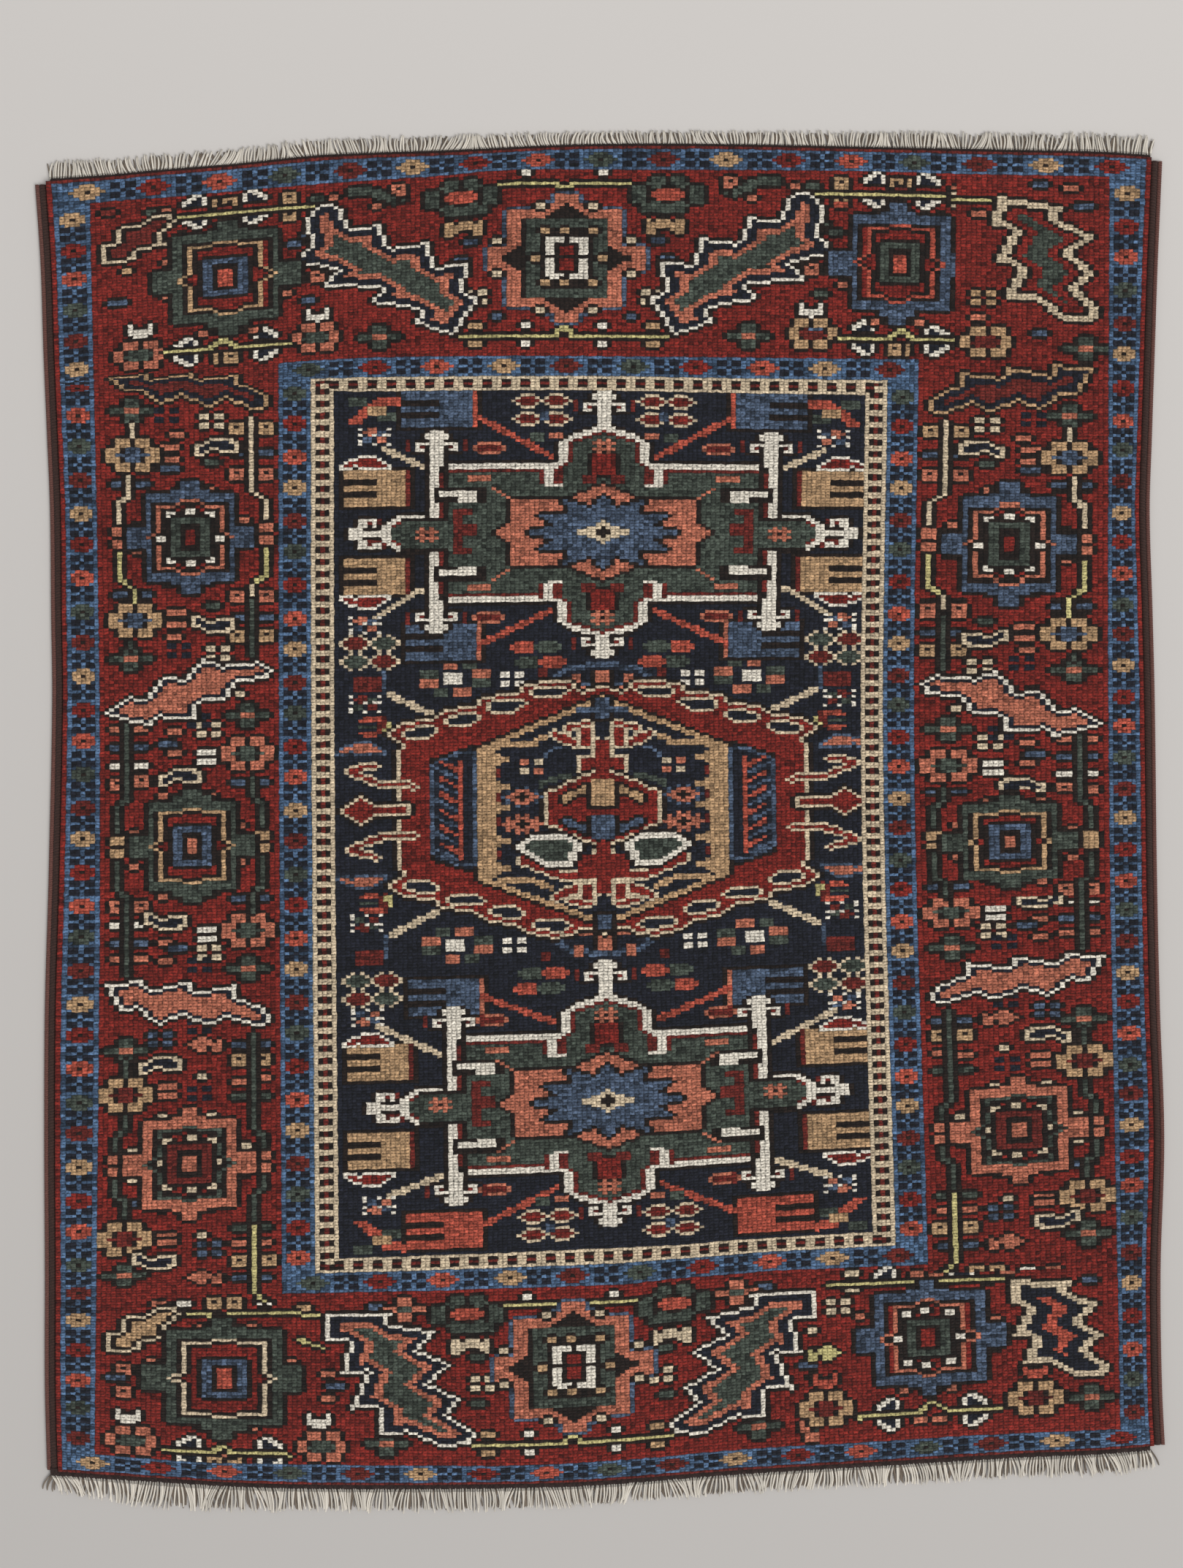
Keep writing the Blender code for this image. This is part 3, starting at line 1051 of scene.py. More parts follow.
def bottom_border(chart):
    """The lower border: its left part, the same turned over, and the middle rosette."""
    chart.figures([
        (BUTTERFLY, "", (26, 428.5), (26, 435, "y"), (42, 428.5, "x"), (42, 435, "xy")),
        (SQUARE, "T", (32, 381), (35, 381), (32, 435), (35, 434.5)),
        (CHIP, "P", (20.5, 380.5), (54.5, 405), (54.5, 412.5)),
        (CHIP, "W", (25.5, 381), (41.5, 381)),
        (CHIP, "T", (50, 383), (88, 425), (88, 431.5)),
        (SQUARE, "P", (14, 404), (13.5, 411.5)),
        (BAR, "B", (12, 407.5), (56.5, 409), (65, 382.5)),
        (DOT, "P", (19.5, 400.5), (20, 410), (28.5, 389), (38.5, 388.5), (47, 401), (47, 410),
         (28.5, 422.5), (38.5, 422.5), (34, 432)),
        (CROWN, "", (14.5, 421), (53, 421)),
        (SIX_PETALS, "PG", (14.5, 429), (53, 429.5)),
        (CROSS, "GP", (71, 384.5)),
        (CROSS, "PG", (66.5, 428)),
        (LADY_FLOWER, "GC", (84, 386.5)),
        (BRIDGE, "I", (84, 396)),
        (CHIP, "G", (85, 400), (86, 415)),
        (FOUR_DOTS, "I", (86, 409)),
        (DOT, "W", (96, 381), (96, 425.5), (96, 431)),
    ])
    chart.path([(48, 393), (51, 395), (53, 396)], "Y", 1, "K")
    stems(chart, [
        ("Y", (24.5, 384.5), (30, 384.5), (32, 386), (35, 384.5), (46, 384.5), (52, 385.5)),
        ("Y", (21.5, 431.5), (31, 431.5), (33, 429), (35, 431.5), (46, 432)),
        ("Y", (84, 428.5), (103, 428.5), (105, 425.5)),
        ("Y", (91, 383.5), (103, 383.5), (105, 385)),
    ])
    chart.shape(saw_leaf((10, 398), (24, 382), 6, 0, 3), ("K", -1), ("I", 0), ("K", 1), ("T", 2))
    rosette(chart, 33.4, 406.5, 11.6, 16, "G", "I", "B", "C")
    low_leaf = saw_leaf((54, 385), (84, 428), 13, -4, 5)
    chart.shape(low_leaf, ("K", -1), ("W", 0), ("N", 1), ("P", 3), ("G", 5))
    chart.knots[378:435, 105:202] = chart.knots[378:435, 8:105][:, ::-1]
    chart.block("R", 156, 378, 61, 57)
    chart.figures([
        (BUTTERFLY, "", (171, 380.5), (187, 380.5, "x"), (170.5, 423), (170.5, 430, "y"),
         (188, 423, "x"), (188, 430, "xy")),
        (FOUR_DOTS, "I", (160, 391)),
        (CHIP, "I", (163, 380), (163, 385)),
        (DOT, "I", (155, 398)),
        (SPRIG, "Y", (158, 405.5, "x")),
        (CROWN, "", (157.5, 414.5), (200.5, 415)),
        (PETALS, "TD", (157.5, 424), (200.5, 424)),
        (CROSS, "PG", (211.5, 424)),
        (DOT, "P", (174, 388), (184, 388.5), (192.5, 397.5), (192.5, 406), (174, 418.5),
         (184, 418.5), (165.5, 394), (165.5, 402)),
        (CHIP, "P", (178, 380.5), (181, 380.5), (195, 380.5), (178, 429), (182, 429)),
        (CHIP, "B", (211, 384.5), (191, 384)),
    ], "K")
    chart.redye(154, 411, 8, 7, {"W": "C"})
    chart.redye(197, 411, 8, 7, {"W": "C"})
    stems(chart, [
        ("Y", (158, 383.5), (194, 383.5)),
        ("Y", (164, 427), (177, 426.5), (180, 423), (183, 426), (193, 426)),
    ])
    rosette(chart, 179.5, 402, 11.4, 14.6, "B", "P", "G", "R", "W")
    navy_leaf = saw_leaf((196, 384), (214, 417), 10, -3, 4)
    chart.shape(navy_leaf, ("K", -1), ("I", 0), ("N", 2), ("C", 5))
    middle_rosette(chart, 404)


def middle_rosette(chart, row):
    """The coral rosette half way along the top or bottom border, with its blue rim."""
    middle = 105.5

    def placed(wide, high):
        return [(middle + x, row + y) for x, y in box(wide, high)]

    chart.shape([(middle + x * 12, row + y * 16) for x, y in RING_OUTLINE],
                ("B", -1), ("P", 0), ("K", 3))
    chart.shape(placed(8.6, 13), ("G", 0), ("K", 3))
    chart.shape(placed(4.6, 6.8), ("K", -1), ("W", 0), ("K", 2))
    chart.shape(placed(1.9, 4), ("R", 0))
    chart.blocks([
        ("K", int(middle) - 5, row - 1, 12, 1), ("K", int(middle), row - 7, 1, 2),
        ("K", int(middle), row + 5, 1, 2),
    ])
    chart.figures([
        (DOT, "T", (100.5, row - 9), (105.5, row - 9), (110.5, row - 9), (100.5, row + 8),
         (105.5, row + 8), (110.5, row + 8), (98.5, row), (112.5, row)),
        (DOT, "I", (100, row - 17), (111, row - 17), (91.5, row - 6), (91.5, row + 5),
         (119.5, row - 6), (119.5, row + 5), (100, row + 17), (111, row + 17)),
    ])


def paint_borders(chart):
    """The four wide red borders with their corners."""
    top_border(chart)
    bottom_border(chart)
    side_border(chart)
    chart.knots[8:69, 105:202] = chart.knots[8:69, 8:105][:, ::-1]
    chart.block("R", 187, 8, 30, 61)
    chart.redye(156, 18, 31, 42, {"G": "B", "T": "C", "B": "G"})
    chart.redye(148, 56, 15, 13, {"P": "T", "G": "D"})
    chart.figures([(SIX_PETALS, "TD", (192.5, 63)), (CHIP, "B", (204, 60), (203, 11)),
                   (CHIP, "P", (191, 21), (191, 55), (210, 12)), (FOUR_DOTS, "T", (193, 48)),
                   (CROSS, "PG", (212, 65)), (BAR, "B", (212, 18))])
    stems(chart, [
        ("Y", (186, 16), (193, 16)),
    ])
    cream_leaf = saw_leaf((195, 15), (214, 56), 11, -3, 4)
    chart.shape(cream_leaf, ("K", -1), ("I", 0), ("K", 2), ("R", 3), ("G", 5))
    middle_rosette(chart, 37)


# Rows or columns from one guard rosette to the next, and the order in which dyes return.
SIDE_PITCH = 10.6
END_PITCH = 13.4
OUTER_DYES = "TRCGD"
INNER_DYES = "GRCTD"
GUARD_WIDTH = 7
# The outer guards lie at the rug's rim, and the inner ones between the wide borders and field.
GUARDS = [
    # along the rug, first column or row across the guard, where it starts and ends, dyes
    (True, 1, 8, 435, OUTER_DYES),
    (True, 217, 8, 435, OUTER_DYES),
    (True, 45, 76, 371, INNER_DYES),
    (True, 173, 76, 371, INNER_DYES),
    (False, 1, 1, 224, OUTER_DYES),
    (False, 435, 1, 224, OUTER_DYES),
    (False, 69, 45, 180, INNER_DYES),
    (False, 371, 45, 180, INNER_DYES),
]


def paint_guards(chart):
    """The blue guards' repeat at an even pitch: a rosette, then four dark squares."""
    for upright, edge, first, last, dyes in GUARDS:
        span = last - first
        count = round(span / (SIDE_PITCH if upright else END_PITCH))
        flower = ROSETTE if upright else WIDE_ROSETTE
        if upright:
            chart.block("L", edge, first, GUARD_WIDTH, span)
        else:
            chart.block("L", first, edge, span, GUARD_WIDTH)
        for i in range(count):
            place = first + (i + 0.5) * span / count
            figures = [(flower, place, {"o": dyes[i % len(dyes)]})]
            if i < count - 1:
                figures.append((GUARD_BLOCK, place + 0.5 * span / count, None))
            for motif, at, swap in figures:
                middle = edge + GUARD_WIDTH / 2
                col, row = (middle, at) if upright else (at, middle)
                chart.stamp(motif, col, row, "", swap)
    chart.block("D", 0, 0, NX, 1)
    chart.block("D", 0, NY - 1, NX, 1)


def paint_thin_borders(chart):
    """The narrow border round the field: dark and cream knots by turns between cream lines."""
    for left, top, wide, high in ((52, 76, 121, 5), (52, 366, 121, 5), (52, 76, 5, 295),
                                  (168, 76, 5, 295)):
        chart.block("I", left, top, wide, high)
    for row in range(77, 370):
        if row % 4 in (0, 1):
            for left in (53, 169):
                chart.block("K", left, row, 3, 1)
                chart.block("D", left + 1, row, 1, 1)
    for col in range(53, 172):
        if col % 4 in (0, 1):
            for top in (77, 367):
                chart.block("K", col, top, 1, 3)
                chart.block("D", col, top + 1, 1, 1)


def draw_chart():
    """The whole chart, from the ground up: stripes, borders, border flowers, field."""
    chart = Chart()
    paint_borders(chart)
    paint_field(chart)
    paint_thin_borders(chart)
    paint_guards(chart)
    return chart.knots


def linear(color):
    """A colour as it shows, turned into light amounts: the usual screen curve undone."""
    color = np.asarray(color, float)
    return np.where(color <= 0.04045, color / 12.92, ((color + 0.055) / 1.055) ** 2.4)


def smooth_noise(rng, high, wide, cell_high, cell_wide):
    """Random values on a coarse grid, blended straight between its corners."""
    rows = int(high / cell_high) + 2
    cols = int(wide / cell_wide) + 2
    coarse = rng.uniform(-1.0, 1.0, (rows, cols))
    y = np.arange(high) / cell_high
    x = np.arange(wide) / cell_wide
    j, i = y.astype(int), x.astype(int)
    fy, fx = (y - j)[:, None], (x - i)[None, :]
    upper = coarse[j][:, i] * (1 - fx) + coarse[j][:, i + 1] * fx
    lower = coarse[j + 1][:, i] * (1 - fx) + coarse[j + 1][:, i + 1] * fx
    return upper * (1 - fy) + lower * fy


def dye_colors(knots, rng):
    """Colour of each knot: its dye, lighter or darker from knot to knot, and drifting slowly
    from band to band as new yarn was taken up."""
    base = np.zeros((256, 3))
    single = np.zeros(256)
    drift = np.zeros(256)
    for letter, (color, spread, slow) in DYES.items():
        base[ord(letter)] = linear(color)
        single[ord(letter)] = spread * KNOT_SPREAD
        drift[ord(letter)] = slow
    high, wide = knots.shape
    bands = smooth_noise(rng, high, wide, 9, 60) + 0.6 * smooth_noise(rng, high, wide, 3, 25)
    knot = rng.normal(0.0, 1.0, (high, wide)).clip(-2, 2)
    amount = 1.0 + single[knots] * knot + drift[knots] * bands
    return base[knots] * amount[..., None].clip(0.35, 1.9)


class Wire:
    """A shader socket that can be used in sums: each operation adds a math node."""

    def __init__(self, tree, socket):
        self.tree = tree
        self.socket = socket

    def node(self, kind, *inputs, **settings):
        """A new node of a kind, its settings made and its inputs joined or set in order."""
        made = self.tree.nodes.new(kind)
        for name, value in settings.items():
            setattr(made, name, value)
        for slot, value in zip(made.inputs, inputs):
            if isinstance(value, Wire):
                self.tree.links.new(value.socket, slot)
            elif value is not None:
                slot.default_value = value
        return made

    def math(self, operation, *inputs):
        """The result of one math operation."""
        made = self.node("ShaderNodeMath", *inputs, operation=operation)
        return Wire(self.tree, made.outputs[0])

    def __add__(self, other):
        return self.math("ADD", self, other)

    def __radd__(self, other):
        return self.math("ADD", other, self)

    def __sub__(self, other):
        return self.math("SUBTRACT", self, other)

    def __rsub__(self, other):
        return self.math("SUBTRACT", other, self)

    def __mul__(self, other):
        return self.math("MULTIPLY", self, other)

    def __rmul__(self, other):
        return self.math("MULTIPLY", other, self)

    def fraction(self):
        """What is left of a value over its whole number."""
        return self.math("FRACT", self)

    def above(self, low):
        """The value, or low where it is less."""
        return self.math("MAXIMUM", self, low)


def new_material(name, roughness, sheen):
    """A cloth material and its shader, with the settings that are the same all over."""
    made = bpy.data.materials.new(name)
    made.use_nodes = True
    shader = made.node_tree.nodes["Principled BSDF"]
    shader.inputs["Roughness"].default_value = roughness
    shader.inputs["Metallic"].default_value = 0.0
    shader.inputs["Specular IOR Level"].default_value = 0.25
    shader.inputs["Sheen Weight"].default_value = sheen
    return made, shader


def tint(start, color, amount):
    """A colour scaled by a value, through a mix from black."""
    made = start.node("ShaderNodeMix", data_type="RGBA", blend_type="MULTIPLY")
    made.inputs["Factor"].default_value = 1.0
    start.tree.links.new(color, made.inputs["A"])
    grey = start.node("ShaderNodeCombineColor", amount, amount, amount)
    start.tree.links.new(grey.outputs[0], made.inputs["B"])
    return made.outputs["Result"]


def pile_material():
    """Knotted wool: the dyes come from the mesh, and each knot is a small bumped dome, from its
    place on the chart, over a fine wool grain. The colour carries painted shade: each knot is
    darker towards the gaps round it."""
    made, shader = new_material("knotted wool", 0.85, 0.15)
    tree = made.node_tree
    start = Wire(tree, None)
    dye = start.node("ShaderNodeVertexColor", layer_name="dye")
    chart = start.node("ShaderNodeUVMap", uv_map="OFBake")
    split = start.node("ShaderNodeSeparateXYZ", Wire(tree, chart.outputs[0]))
    u = Wire(tree, split.outputs[0]) * NX
    v = Wire(tree, split.outputs[1]) * NY
    across = u.fraction() - 0.5
    along = v.fraction() - 0.5
    dome = (1.0 - across * across * 4.0) * (1.0 - along * along * 4.0)
    place = start.node("ShaderNodeTexCoord")
    grain = start.node("ShaderNodeTexNoise")
    tree.links.new(place.outputs["Object"], grain.inputs["Vector"])
    grain.inputs["Scale"].default_value = 420.0
    grain.inputs["Detail"].default_value = 2.0
    wool = Wire(tree, grain.outputs[0])
    height = dome * 0.8 + wool * 0.9
    bump = start.node("ShaderNodeBump")
    bump.inputs["Strength"].default_value = 1.0
    bump.inputs["Distance"].default_value = 0.0011
    tree.links.new(height.socket, bump.inputs["Height"])
    tree.links.new(bump.outputs[0], shader.inputs["Normal"])
    # Painted shade: the colour is darkest in the gaps round each knot's dome and brightest at its
    # middle, with the wool grain's random tone on top.
    shade = dome.math("POWER", dome.above(0.0), 0.5) * 0.75 + 0.34 + (wool - 0.5) * 2.0
    tree.links.new(tint(start, dye.outputs[0], shade), shader.inputs["Base Color"])
    return made


def grid_faces(rows, cols, flip=False):
    """Corner numbers of the quads of a grid of points, row by row."""
    first = (np.arange(rows - 1)[:, None] * cols + np.arange(cols - 1)[None, :]).ravel()
    quads = np.stack([first, first + cols, first + cols + 1, first + 1], axis=1)
    return quads[:, ::-1] if flip else quads


def mesh_object(name, points, faces, material, colors=None, chart=None):
    """A mesh object from whole arrays: face colours and chart places are optional."""
    mesh = bpy.data.meshes.new(name)
    mesh.vertices.add(len(points))
    mesh.vertices.foreach_set("co", np.ascontiguousarray(points, np.float32).ravel())
    sides = faces.shape[1]
    mesh.loops.add(faces.size)
    mesh.loops.foreach_set("vertex_index", np.ascontiguousarray(faces, np.int32).ravel())
    mesh.polygons.add(len(faces))
    mesh.polygons.foreach_set("loop_start", np.arange(len(faces), dtype=np.int32) * sides)
    mesh.update(calc_edges=True)
    if chart is not None:
        layer = mesh.uv_layers.new(name="OFBake")
        places = np.ascontiguousarray(chart[faces.ravel()], np.float32)
        layer.uv.foreach_set("vector", places.ravel())
    if colors is not None:
        layer = mesh.color_attributes.new("dye", "FLOAT_COLOR", "CORNER")
        full = np.ones((len(faces), sides, 4), np.float32)
        full[..., :3] = colors[:, None, :]
        layer.data.foreach_set("color", full.ravel())
    mesh.materials.append(material)
    mesh.validate()
    made = bpy.data.objects.new(name, mesh)
    bpy.context.scene.collection.objects.link(made)
    return made


def make_pile():
    """The pile's upper face: one quad for each knot. Its corners wander a little, and knots in
    the dark outline dye lie lower, because that dye has eaten their wool."""
    rng = np.random.default_rng(7)
    knots = draw_chart()
    v, u = np.meshgrid(np.arange(NY + 1.0), np.arange(NX + 1.0), indexing="ij")
    x, y = on_rug(u, v)
    wander = rng.normal(0.0, KNOT_WANDER, (2, NY + 1, NX + 1)).clip(-0.0007, 0.0007)
    wander[:, [0, -1]] = 0.0
    wander[:, :, [0, -1]] = 0.0
    sunk = np.zeros((NY + 2, NX + 2))
    sunk[1:-1, 1:-1] = np.isin(knots, [ord("K")])
    low = (sunk[:-1, :-1] + sunk[:-1, 1:] + sunk[1:, :-1] + sunk[1:, 1:]) / 4
    z = PILE_TOP - OUTLINE_DEPTH * low + rng.normal(0.0, 0.00008, low.shape)
    points = np.stack([x + wander[0], y + wander[1], z], axis=-1).reshape(-1, 3)
    chart = np.stack([u / NX, 1.0 - v / NY], axis=-1).reshape(-1, 2)
    faces = grid_faces(NY + 1, NX + 1)
    colors = dye_colors(knots, rng).reshape(-1, 3)
    pile = mesh_object("rug_pile", points, faces, pile_material(), colors, chart)
    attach(pile, "root")
    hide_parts("pile_carpet")
    return pile


def yarn_material(name, roughness):
    """Yarn whose colours come from the mesh, with the painted shade that the selvedges and fringes
    put in them.
    """
    made, shader = new_material(name, roughness, 0.1)
    dye = Wire(made.node_tree, None).node("ShaderNodeVertexColor", layer_name="dye")
    made.node_tree.links.new(dye.outputs[0], shader.inputs["Base Color"])
    return made


def make_edges():
    """The rug's underside and the knots that show at its rim: a coarser grid facing down, and
    a skirt from the pile's edge to it, both from the chart."""
    rng = np.random.default_rng(11)
    rows, cols = BACK_ROWS, BACK_COLS
    v, u = np.meshgrid(np.linspace(0, NY, rows + 1), np.linspace(0, NX, cols + 1), indexing="ij")
    x, y = on_rug(u, v)
    under = np.stack([x, y, np.full_like(x, BACK_HEIGHT)], axis=-1).reshape(-1, 3)
    ring = [(i, 0) for i in range(cols)] + [(cols, j) for j in range(rows)]
    ring += [(cols - i, rows) for i in range(cols)] + [(0, rows - j) for j in range(rows)]
    edge = np.array([j * (cols + 1) + i for i, j in ring])
    loops = [under[edge] + np.array([0.0, 0.0, h]) for h in (0.0, 0.0035, PILE_TOP - BACK_HEIGHT)]
    count = len(edge)
    wall = []
    start = len(under)
    for level in range(2):
        here = start + level * count + np.arange(count)
        follow = start + level * count + (np.arange(count) + 1) % count
        wall.append(np.stack([here, here + count, follow + count, follow], axis=1))
    points = np.concatenate([under] + loops)
    faces = np.concatenate([grid_faces(rows + 1, cols + 1, True)] + wall)
    colors = np.tile(linear(BACK_COLOR), (len(faces), 1))
    colors *= rng.uniform(0.8, 1.15, (len(faces), 1))
    back = mesh_object("rug_back", points, faces, yarn_material("woven back", 0.9), colors)
    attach(back, "root")
    return back


def make_selvedge(side, name, node):
    """One wrapped selvedge: a smooth outer cord and a flat braided wrap inside it, each with
    ridges where the yarn goes round, and painted shade that darkens the colour between them."""
    rng = np.random.default_rng(21 + side)
    top = float(end_y(1, np.array(side * 0.65), 0.006))
    bottom = float(end_y(-1, np.array(side * 0.65), 0.006))
    stations = SELVEDGE_STATIONS
    y = np.linspace(bottom, top, stations)
    parts = []
    faces = []
    colors = []
    count = 0
    around = SELVEDGE_AROUND
    for inner, outer, height, pitch, color in SELVEDGE_CORDS:
        angle = np.linspace(-0.2 * math.pi, 1.2 * math.pi, around + 1)
        middle = (inner + outer) / 2
        half = (inner - outer) / 2
        slant = angle[None, :] * 0.35
        ridge = np.sin(y[:, None] / pitch * 2 * math.pi + slant * 4) * 0.5 + 0.5
        swell = 1.0 - 0.10 * (1 - ridge)
        offset = middle + half * np.cos(angle)[None, :] * swell
        rise = height * (0.5 + 0.5 * np.sin(angle)[None, :].clip(-1, 1)) * swell
        x = side_x(side, y, 0.0)[:, None] - side * offset
        z = rise.clip(0.0003, None)
        points = np.stack([x, np.repeat(y[:, None], around + 1, axis=1), z], axis=-1)
        parts.append(points.reshape(-1, 3))
        quads = grid_faces(stations, around + 1, side > 0)
        faces.append(quads + count)
        count += points.shape[0] * points.shape[1]
        shade = linear(color) * rng.uniform(0.75, 1.25, (len(quads), 1))
        # Painted shade: the colour darkens in the grooves between the yarn's ridges.
        colors.append(shade * (0.55 + 0.45 * ridge[:-1, :-1].reshape(-1, 1)))
    made = yarn_material("wrapped wool " + name, 0.85)
    cord = mesh_object(name, np.concatenate(parts), np.concatenate(faces), made,
                       np.concatenate(colors))
    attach(cord, "root")
    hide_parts(node)
    return cord


def strand_tubes(centre, radius):
    """Six-sided tubes round strands of yarn, from centre[strand, station, xyz] and
    radius[strand, station], each closed at its tip. Gives points and faces by strand."""
    count, stations = centre.shape[:2]
    direction = np.gradient(centre, axis=1)
    direction /= np.linalg.norm(direction, axis=-1, keepdims=True)
    flat = np.stack([direction[..., 1], -direction[..., 0], np.zeros((count, stations))], axis=-1)
    flat /= np.linalg.norm(flat, axis=-1, keepdims=True)
    upright = np.cross(flat, direction)
    angle = (np.arange(YARN_SIDES) * 2 * math.pi / YARN_SIDES)[:, None]
    rim = np.cos(angle) * flat[:, :, None] + np.sin(angle) * upright[:, :, None]
    points = centre[:, :, None] + rim * radius[:, :, None, None]
    index = np.arange(count * stations * YARN_SIDES).reshape(count, stations, YARN_SIDES)
    turn = np.roll(index, -1, axis=2)
    walls = np.stack([index[:, :-1], index[:, 1:], turn[:, 1:], turn[:, :-1]], axis=-1)
    tips = index[:, -1][:, [[3, 2, 1, 0], [5, 4, 3, 0]]]
    faces = np.concatenate([walls.reshape(count, -1, 4), tips], axis=1)
    return points.reshape(-1, 3), faces


def make_fringe(end, name, node):
    """One fringed end: yarns below darkened with painted shade, and bright ones above, leaning in
    groups; each yarn's first stretch at its root is darkened with painted shade too. Along a
    yarn, t from 0 to 1, x gains lean * t + curl * sin(2 t) and y gains length * t."""
    rng = np.random.default_rng(33 + end)
    points, faces, colors = [], [], []
    start = 0
    for count, thick, height, reach, color in FRINGE_LAYERS:
        root_x = np.linspace(-HALF_FRINGE, HALF_FRINGE, count) + rng.normal(0, 0.0005, count)
        length = between(ENDS, 3 if end > 0 else 4, root_x) * reach
        length = (length * rng.uniform(0.78, 1.0, count))[:, None]
        t = np.linspace(0, 1, FRINGE_SEGMENTS + 1)[None, :]
        lean = smooth_noise(rng, 1, count, 1, 9)[0] * 0.009 + rng.normal(0, 0.0015, count)
        curl = smooth_noise(rng, 1, count, 1, 4)[0] * 0.006
        x = root_x[:, None] + lean[:, None] * t + curl[:, None] * np.sin(2 * t)
        y = end_y(end, root_x, 0.001)[:, None] + end * length * t
        z = height - 0.0008 * t + rng.uniform(0, 0.0006, count)[:, None]
        radius = thick * (1 - 0.3 * t ** 3) * np.ones((count, 1))
        tube, quads = strand_tubes(np.stack([x, y, z], axis=-1), radius)
        shade = rng.uniform(0.72, 1.08, (count, 1, 1)) * np.ones((1, quads.shape[1], 1))
        # Painted shade: the first stretch of each yarn, at its root, is darker.
        shade[:, :YARN_SIDES] *= 0.55
        points.append(tube)
        faces.append(quads.reshape(-1, 4) + start)
        colors.append((shade * linear(color)).reshape(-1, 3))
        start += len(tube)
    made = yarn_material("warp cotton " + name, 0.8)
    fringe = mesh_object(name, np.concatenate(points), np.concatenate(faces), made,
                         np.concatenate(colors))
    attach(fringe, "root")
    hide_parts(node)
    return fringe


def make_strip(end, name):
    """The dark flatwoven strip between the last knots and the fringe, rounded over its edge."""
    rng = np.random.default_rng(51 + end)
    stations = 640
    x = np.linspace(-HALF_FRINGE, HALF_FRINGE, stations)
    inner = TOP_INSET if end > 0 else BOTTOM_INSET
    rows = []
    for share, height in STRIP_SECTION:
        y = end_y(end, x, inner * (1 - share) - 0.0015 * share)
        rows.append(np.stack([x, y, np.full(stations, height)], axis=-1))
    points = np.stack(rows).reshape(-1, 3)
    faces = grid_faces(len(rows), stations, end > 0)
    colors = linear(STRIP_COLOR) * rng.uniform(0.6, 1.5, (len(faces), 1))
    strip = mesh_object(name, points, faces, yarn_material("flatwoven wool " + name, 0.9), colors)
    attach(strip, "root")
    return strip


def make_stage():
    """The pale floor, painted lighter towards the top and right where more light falls, the soft
    daylight from the lower right, and the camera overhead.
    """
    made, shader = new_material("pale floor", 0.9, 0.0)
    tree = made.node_tree
    start = Wire(tree, None)
    place = start.node("ShaderNodeTexCoord")
    split = start.node("ShaderNodeSeparateXYZ", Wire(tree, place.outputs["Object"]))
    # Painted light: the floor's colour grows lighter towards the top and right, as the light falls
    # off across it.
    painted_light_falloff = Wire(tree, split.outputs[1]) * 0.10 + Wire(tree, split.outputs[0]) * 0.045 + 0.92
    base = start.node("ShaderNodeRGB")
    base.outputs[0].default_value = (*linear(FLOOR_COLOR), 1.0)
    tree.links.new(tint(start, base.outputs[0], painted_light_falloff), shader.inputs["Base Color"])
    corners = np.array([(-1, -1, 0), (1, -1, 0), (1, 1, 0), (-1, 1, 0)], float) * FLOOR_HALF
    floor = mesh_object("floor", corners, np.array([[0, 1, 2, 3]]), made)
    scene = bpy.context.scene
    world = bpy.data.worlds.new("soft room")
    world.use_nodes = True
    world.node_tree.nodes["Background"].inputs["Color"].default_value = (1.0, 1.0, 1.0, 1.0)
    world.node_tree.nodes["Background"].inputs["Strength"].default_value = ROOM_LIGHT
    scene.world = world
    light = bpy.data.lights.new("window", "SUN")
    light.energy = SUN_ENERGY
    light.angle = math.radians(SUN_SPREAD)
    lamp = bpy.data.objects.new("window", light)
    lamp.rotation_euler = (math.radians(SUN_TILT), 0.0, math.radians(SUN_TURN))
    scene.collection.objects.link(lamp)
    lens = bpy.data.cameras.new("overhead")
    lens.lens = FOCAL_LENGTH
    camera = bpy.data.objects.new("overhead", lens)
    camera.location = (CAMERA_X, CAMERA_Y, VIEW_HEIGHT * FOCAL_LENGTH / SENSOR + 0.007)
    scene.collection.objects.link(camera)
    scene.camera = camera
    scene.view_settings.view_transform = "Standard"


class RugSettings(bpy.types.PropertyGroup):
    """Measures of the whole rug, as it lies flat."""

    width: bpy.props.FloatProperty(
        name="Woven width", description="Width of the cloth across its pile and back",
        default=1.27, unit="LENGTH",
    )
    length: bpy.props.FloatProperty(
        name="Woven length", description="Length of the cloth from one woven end to the other",
        default=1.54, unit="LENGTH",
    )


class RUG_OT_pile(bpy.types.Operator):
    """Knot the pile from the chart"""

    bl_idname = "rug.pile"
    bl_label = "Knot the pile"

    def execute(self, context):
        make_pile()
        return {"FINISHED"}


class RUG_OT_back(bpy.types.Operator):
    """Make the woven back and the flatwoven strips at both ends"""

    bl_idname = "rug.back"
    bl_label = "Weave the back"

    def execute(self, context):
        make_edges()
        make_strip(1, "rug_strip_top")
        make_strip(-1, "rug_strip_bottom")
        return {"FINISHED"}


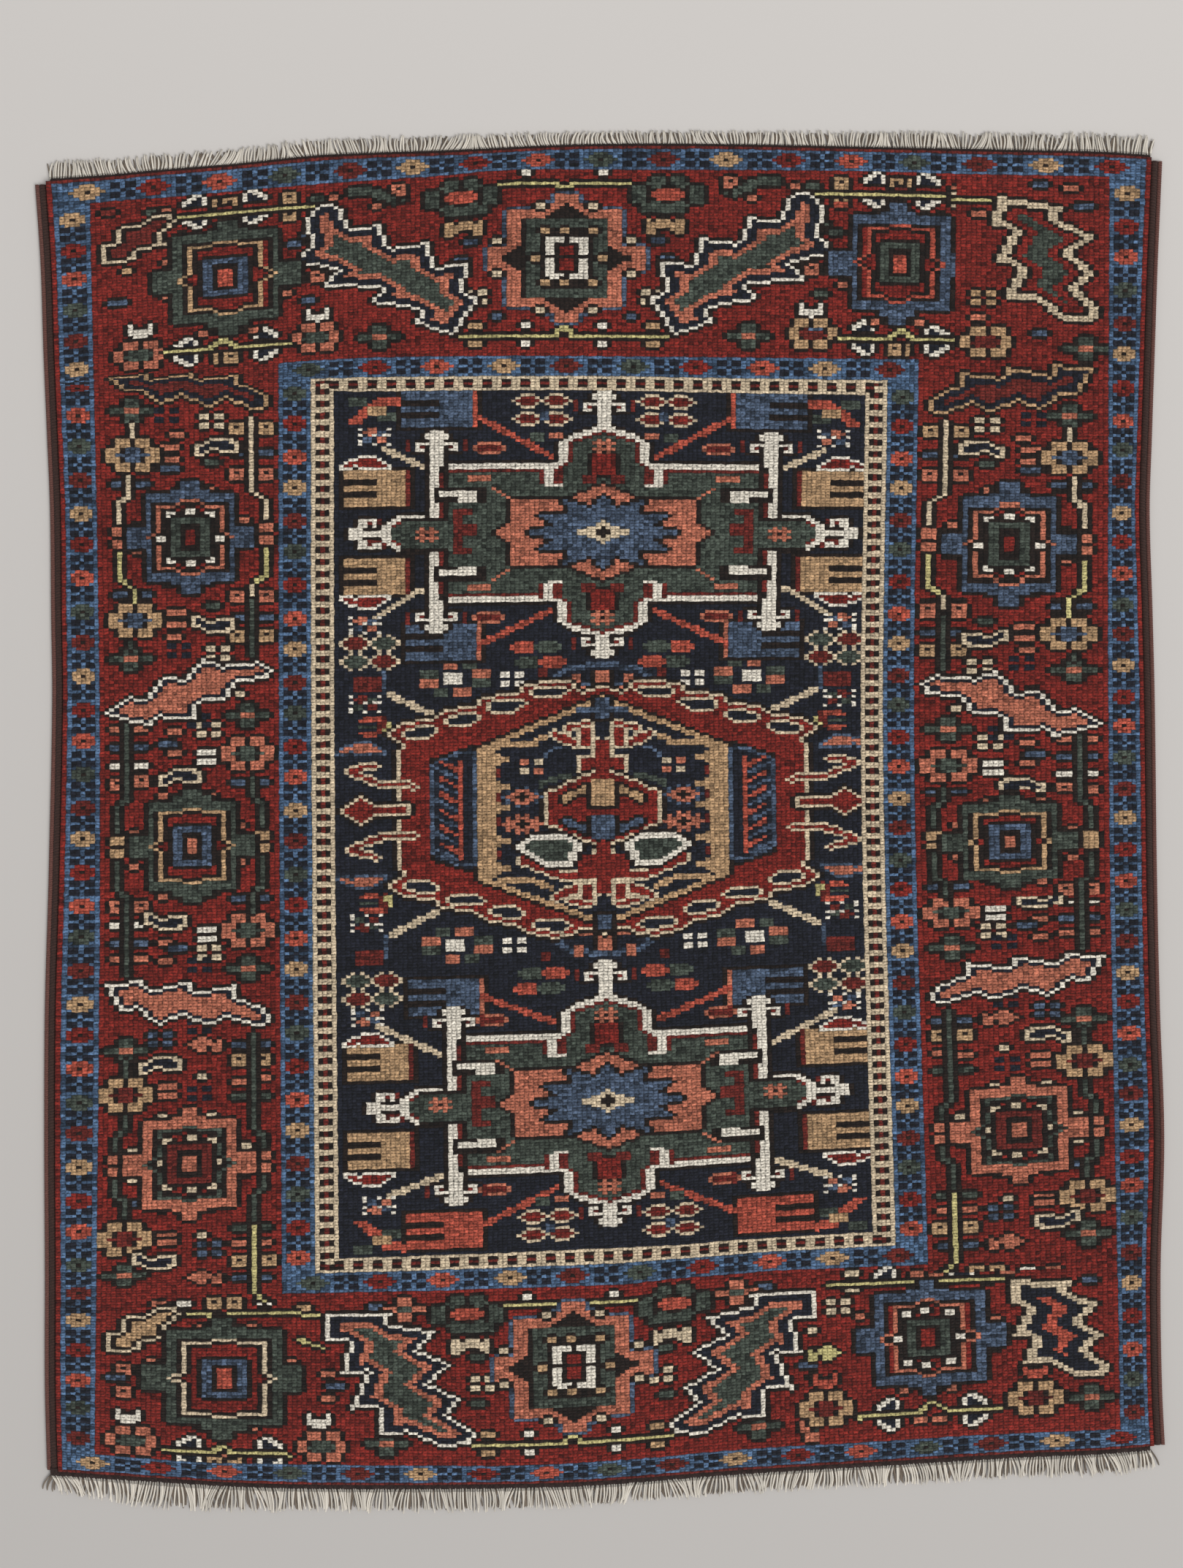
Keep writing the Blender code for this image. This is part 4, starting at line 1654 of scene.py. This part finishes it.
class RUG_OT_selvedges(bpy.types.Operator):
    """Wrap both long sides"""

    bl_idname = "rug.selvedges"
    bl_label = "Wrap the selvedges"

    def execute(self, context):
        make_selvedge(-1, "rug_selvedge_left", "selvedge_left")
        make_selvedge(1, "rug_selvedge_right", "selvedge_right")
        return {"FINISHED"}


class RUG_OT_fringes(bpy.types.Operator):
    """Lay out the fringes at both ends"""

    bl_idname = "rug.fringes"
    bl_label = "Lay out the fringes"

    def execute(self, context):
        make_fringe(1, "rug_fringe_top", "fringe_top")
        make_fringe(-1, "rug_fringe_bottom", "fringe_bottom")
        return {"FINISHED"}


class RUG_OT_lay(bpy.types.Operator):
    """A step that leaves the scene as it is"""

    bl_idname = "rug.lay"
    bl_label = "Lay the cloth"

    def execute(self, context):
        return {"FINISHED"}


class RUG_OT_stage(bpy.types.Operator):
    """Set the floor, light and camera"""

    bl_idname = "rug.stage"
    bl_label = "Set the stage"

    def execute(self, context):
        make_stage()
        return {"FINISHED"}


class RUG_PT_panel(bpy.types.Panel):
    """The rug's measures and steps in the sidebar"""

    bl_idname = "RUG_PT_panel"
    bl_label = "Knotted rug"
    bl_space_type = "VIEW_3D"
    bl_region_type = "UI"
    bl_category = "Rug"

    def draw(self, context):
        settings = context.scene.rug_settings
        self.layout.prop(settings, "width")
        self.layout.prop(settings, "length")
        for step in ("pile", "back", "selvedges", "fringes", "lay", "stage"):
            self.layout.operator("rug." + step)


CLASSES = (RugSettings, RUG_OT_pile, RUG_OT_back, RUG_OT_selvedges, RUG_OT_fringes, RUG_OT_lay,
           RUG_OT_stage, RUG_PT_panel)


def register():
    """Registers the settings, the operators and the panel."""
    for cls in CLASSES:
        bpy.utils.register_class(cls)
    bpy.types.Scene.rug_settings = bpy.props.PointerProperty(type=RugSettings)


def unregister():
    """Removes the settings, the operators and the panel."""
    del bpy.types.Scene.rug_settings
    for cls in reversed(CLASSES):
        bpy.utils.unregister_class(cls)


def main():
    """Makes every piece in turn."""
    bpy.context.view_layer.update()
    register()
    bpy.ops.rug.pile()
    bpy.ops.rug.back()
    bpy.ops.rug.selvedges()
    bpy.ops.rug.fringes()
    bpy.ops.rug.lay()
    bpy.ops.rug.stage()


if __name__ == "__main__":
    main()
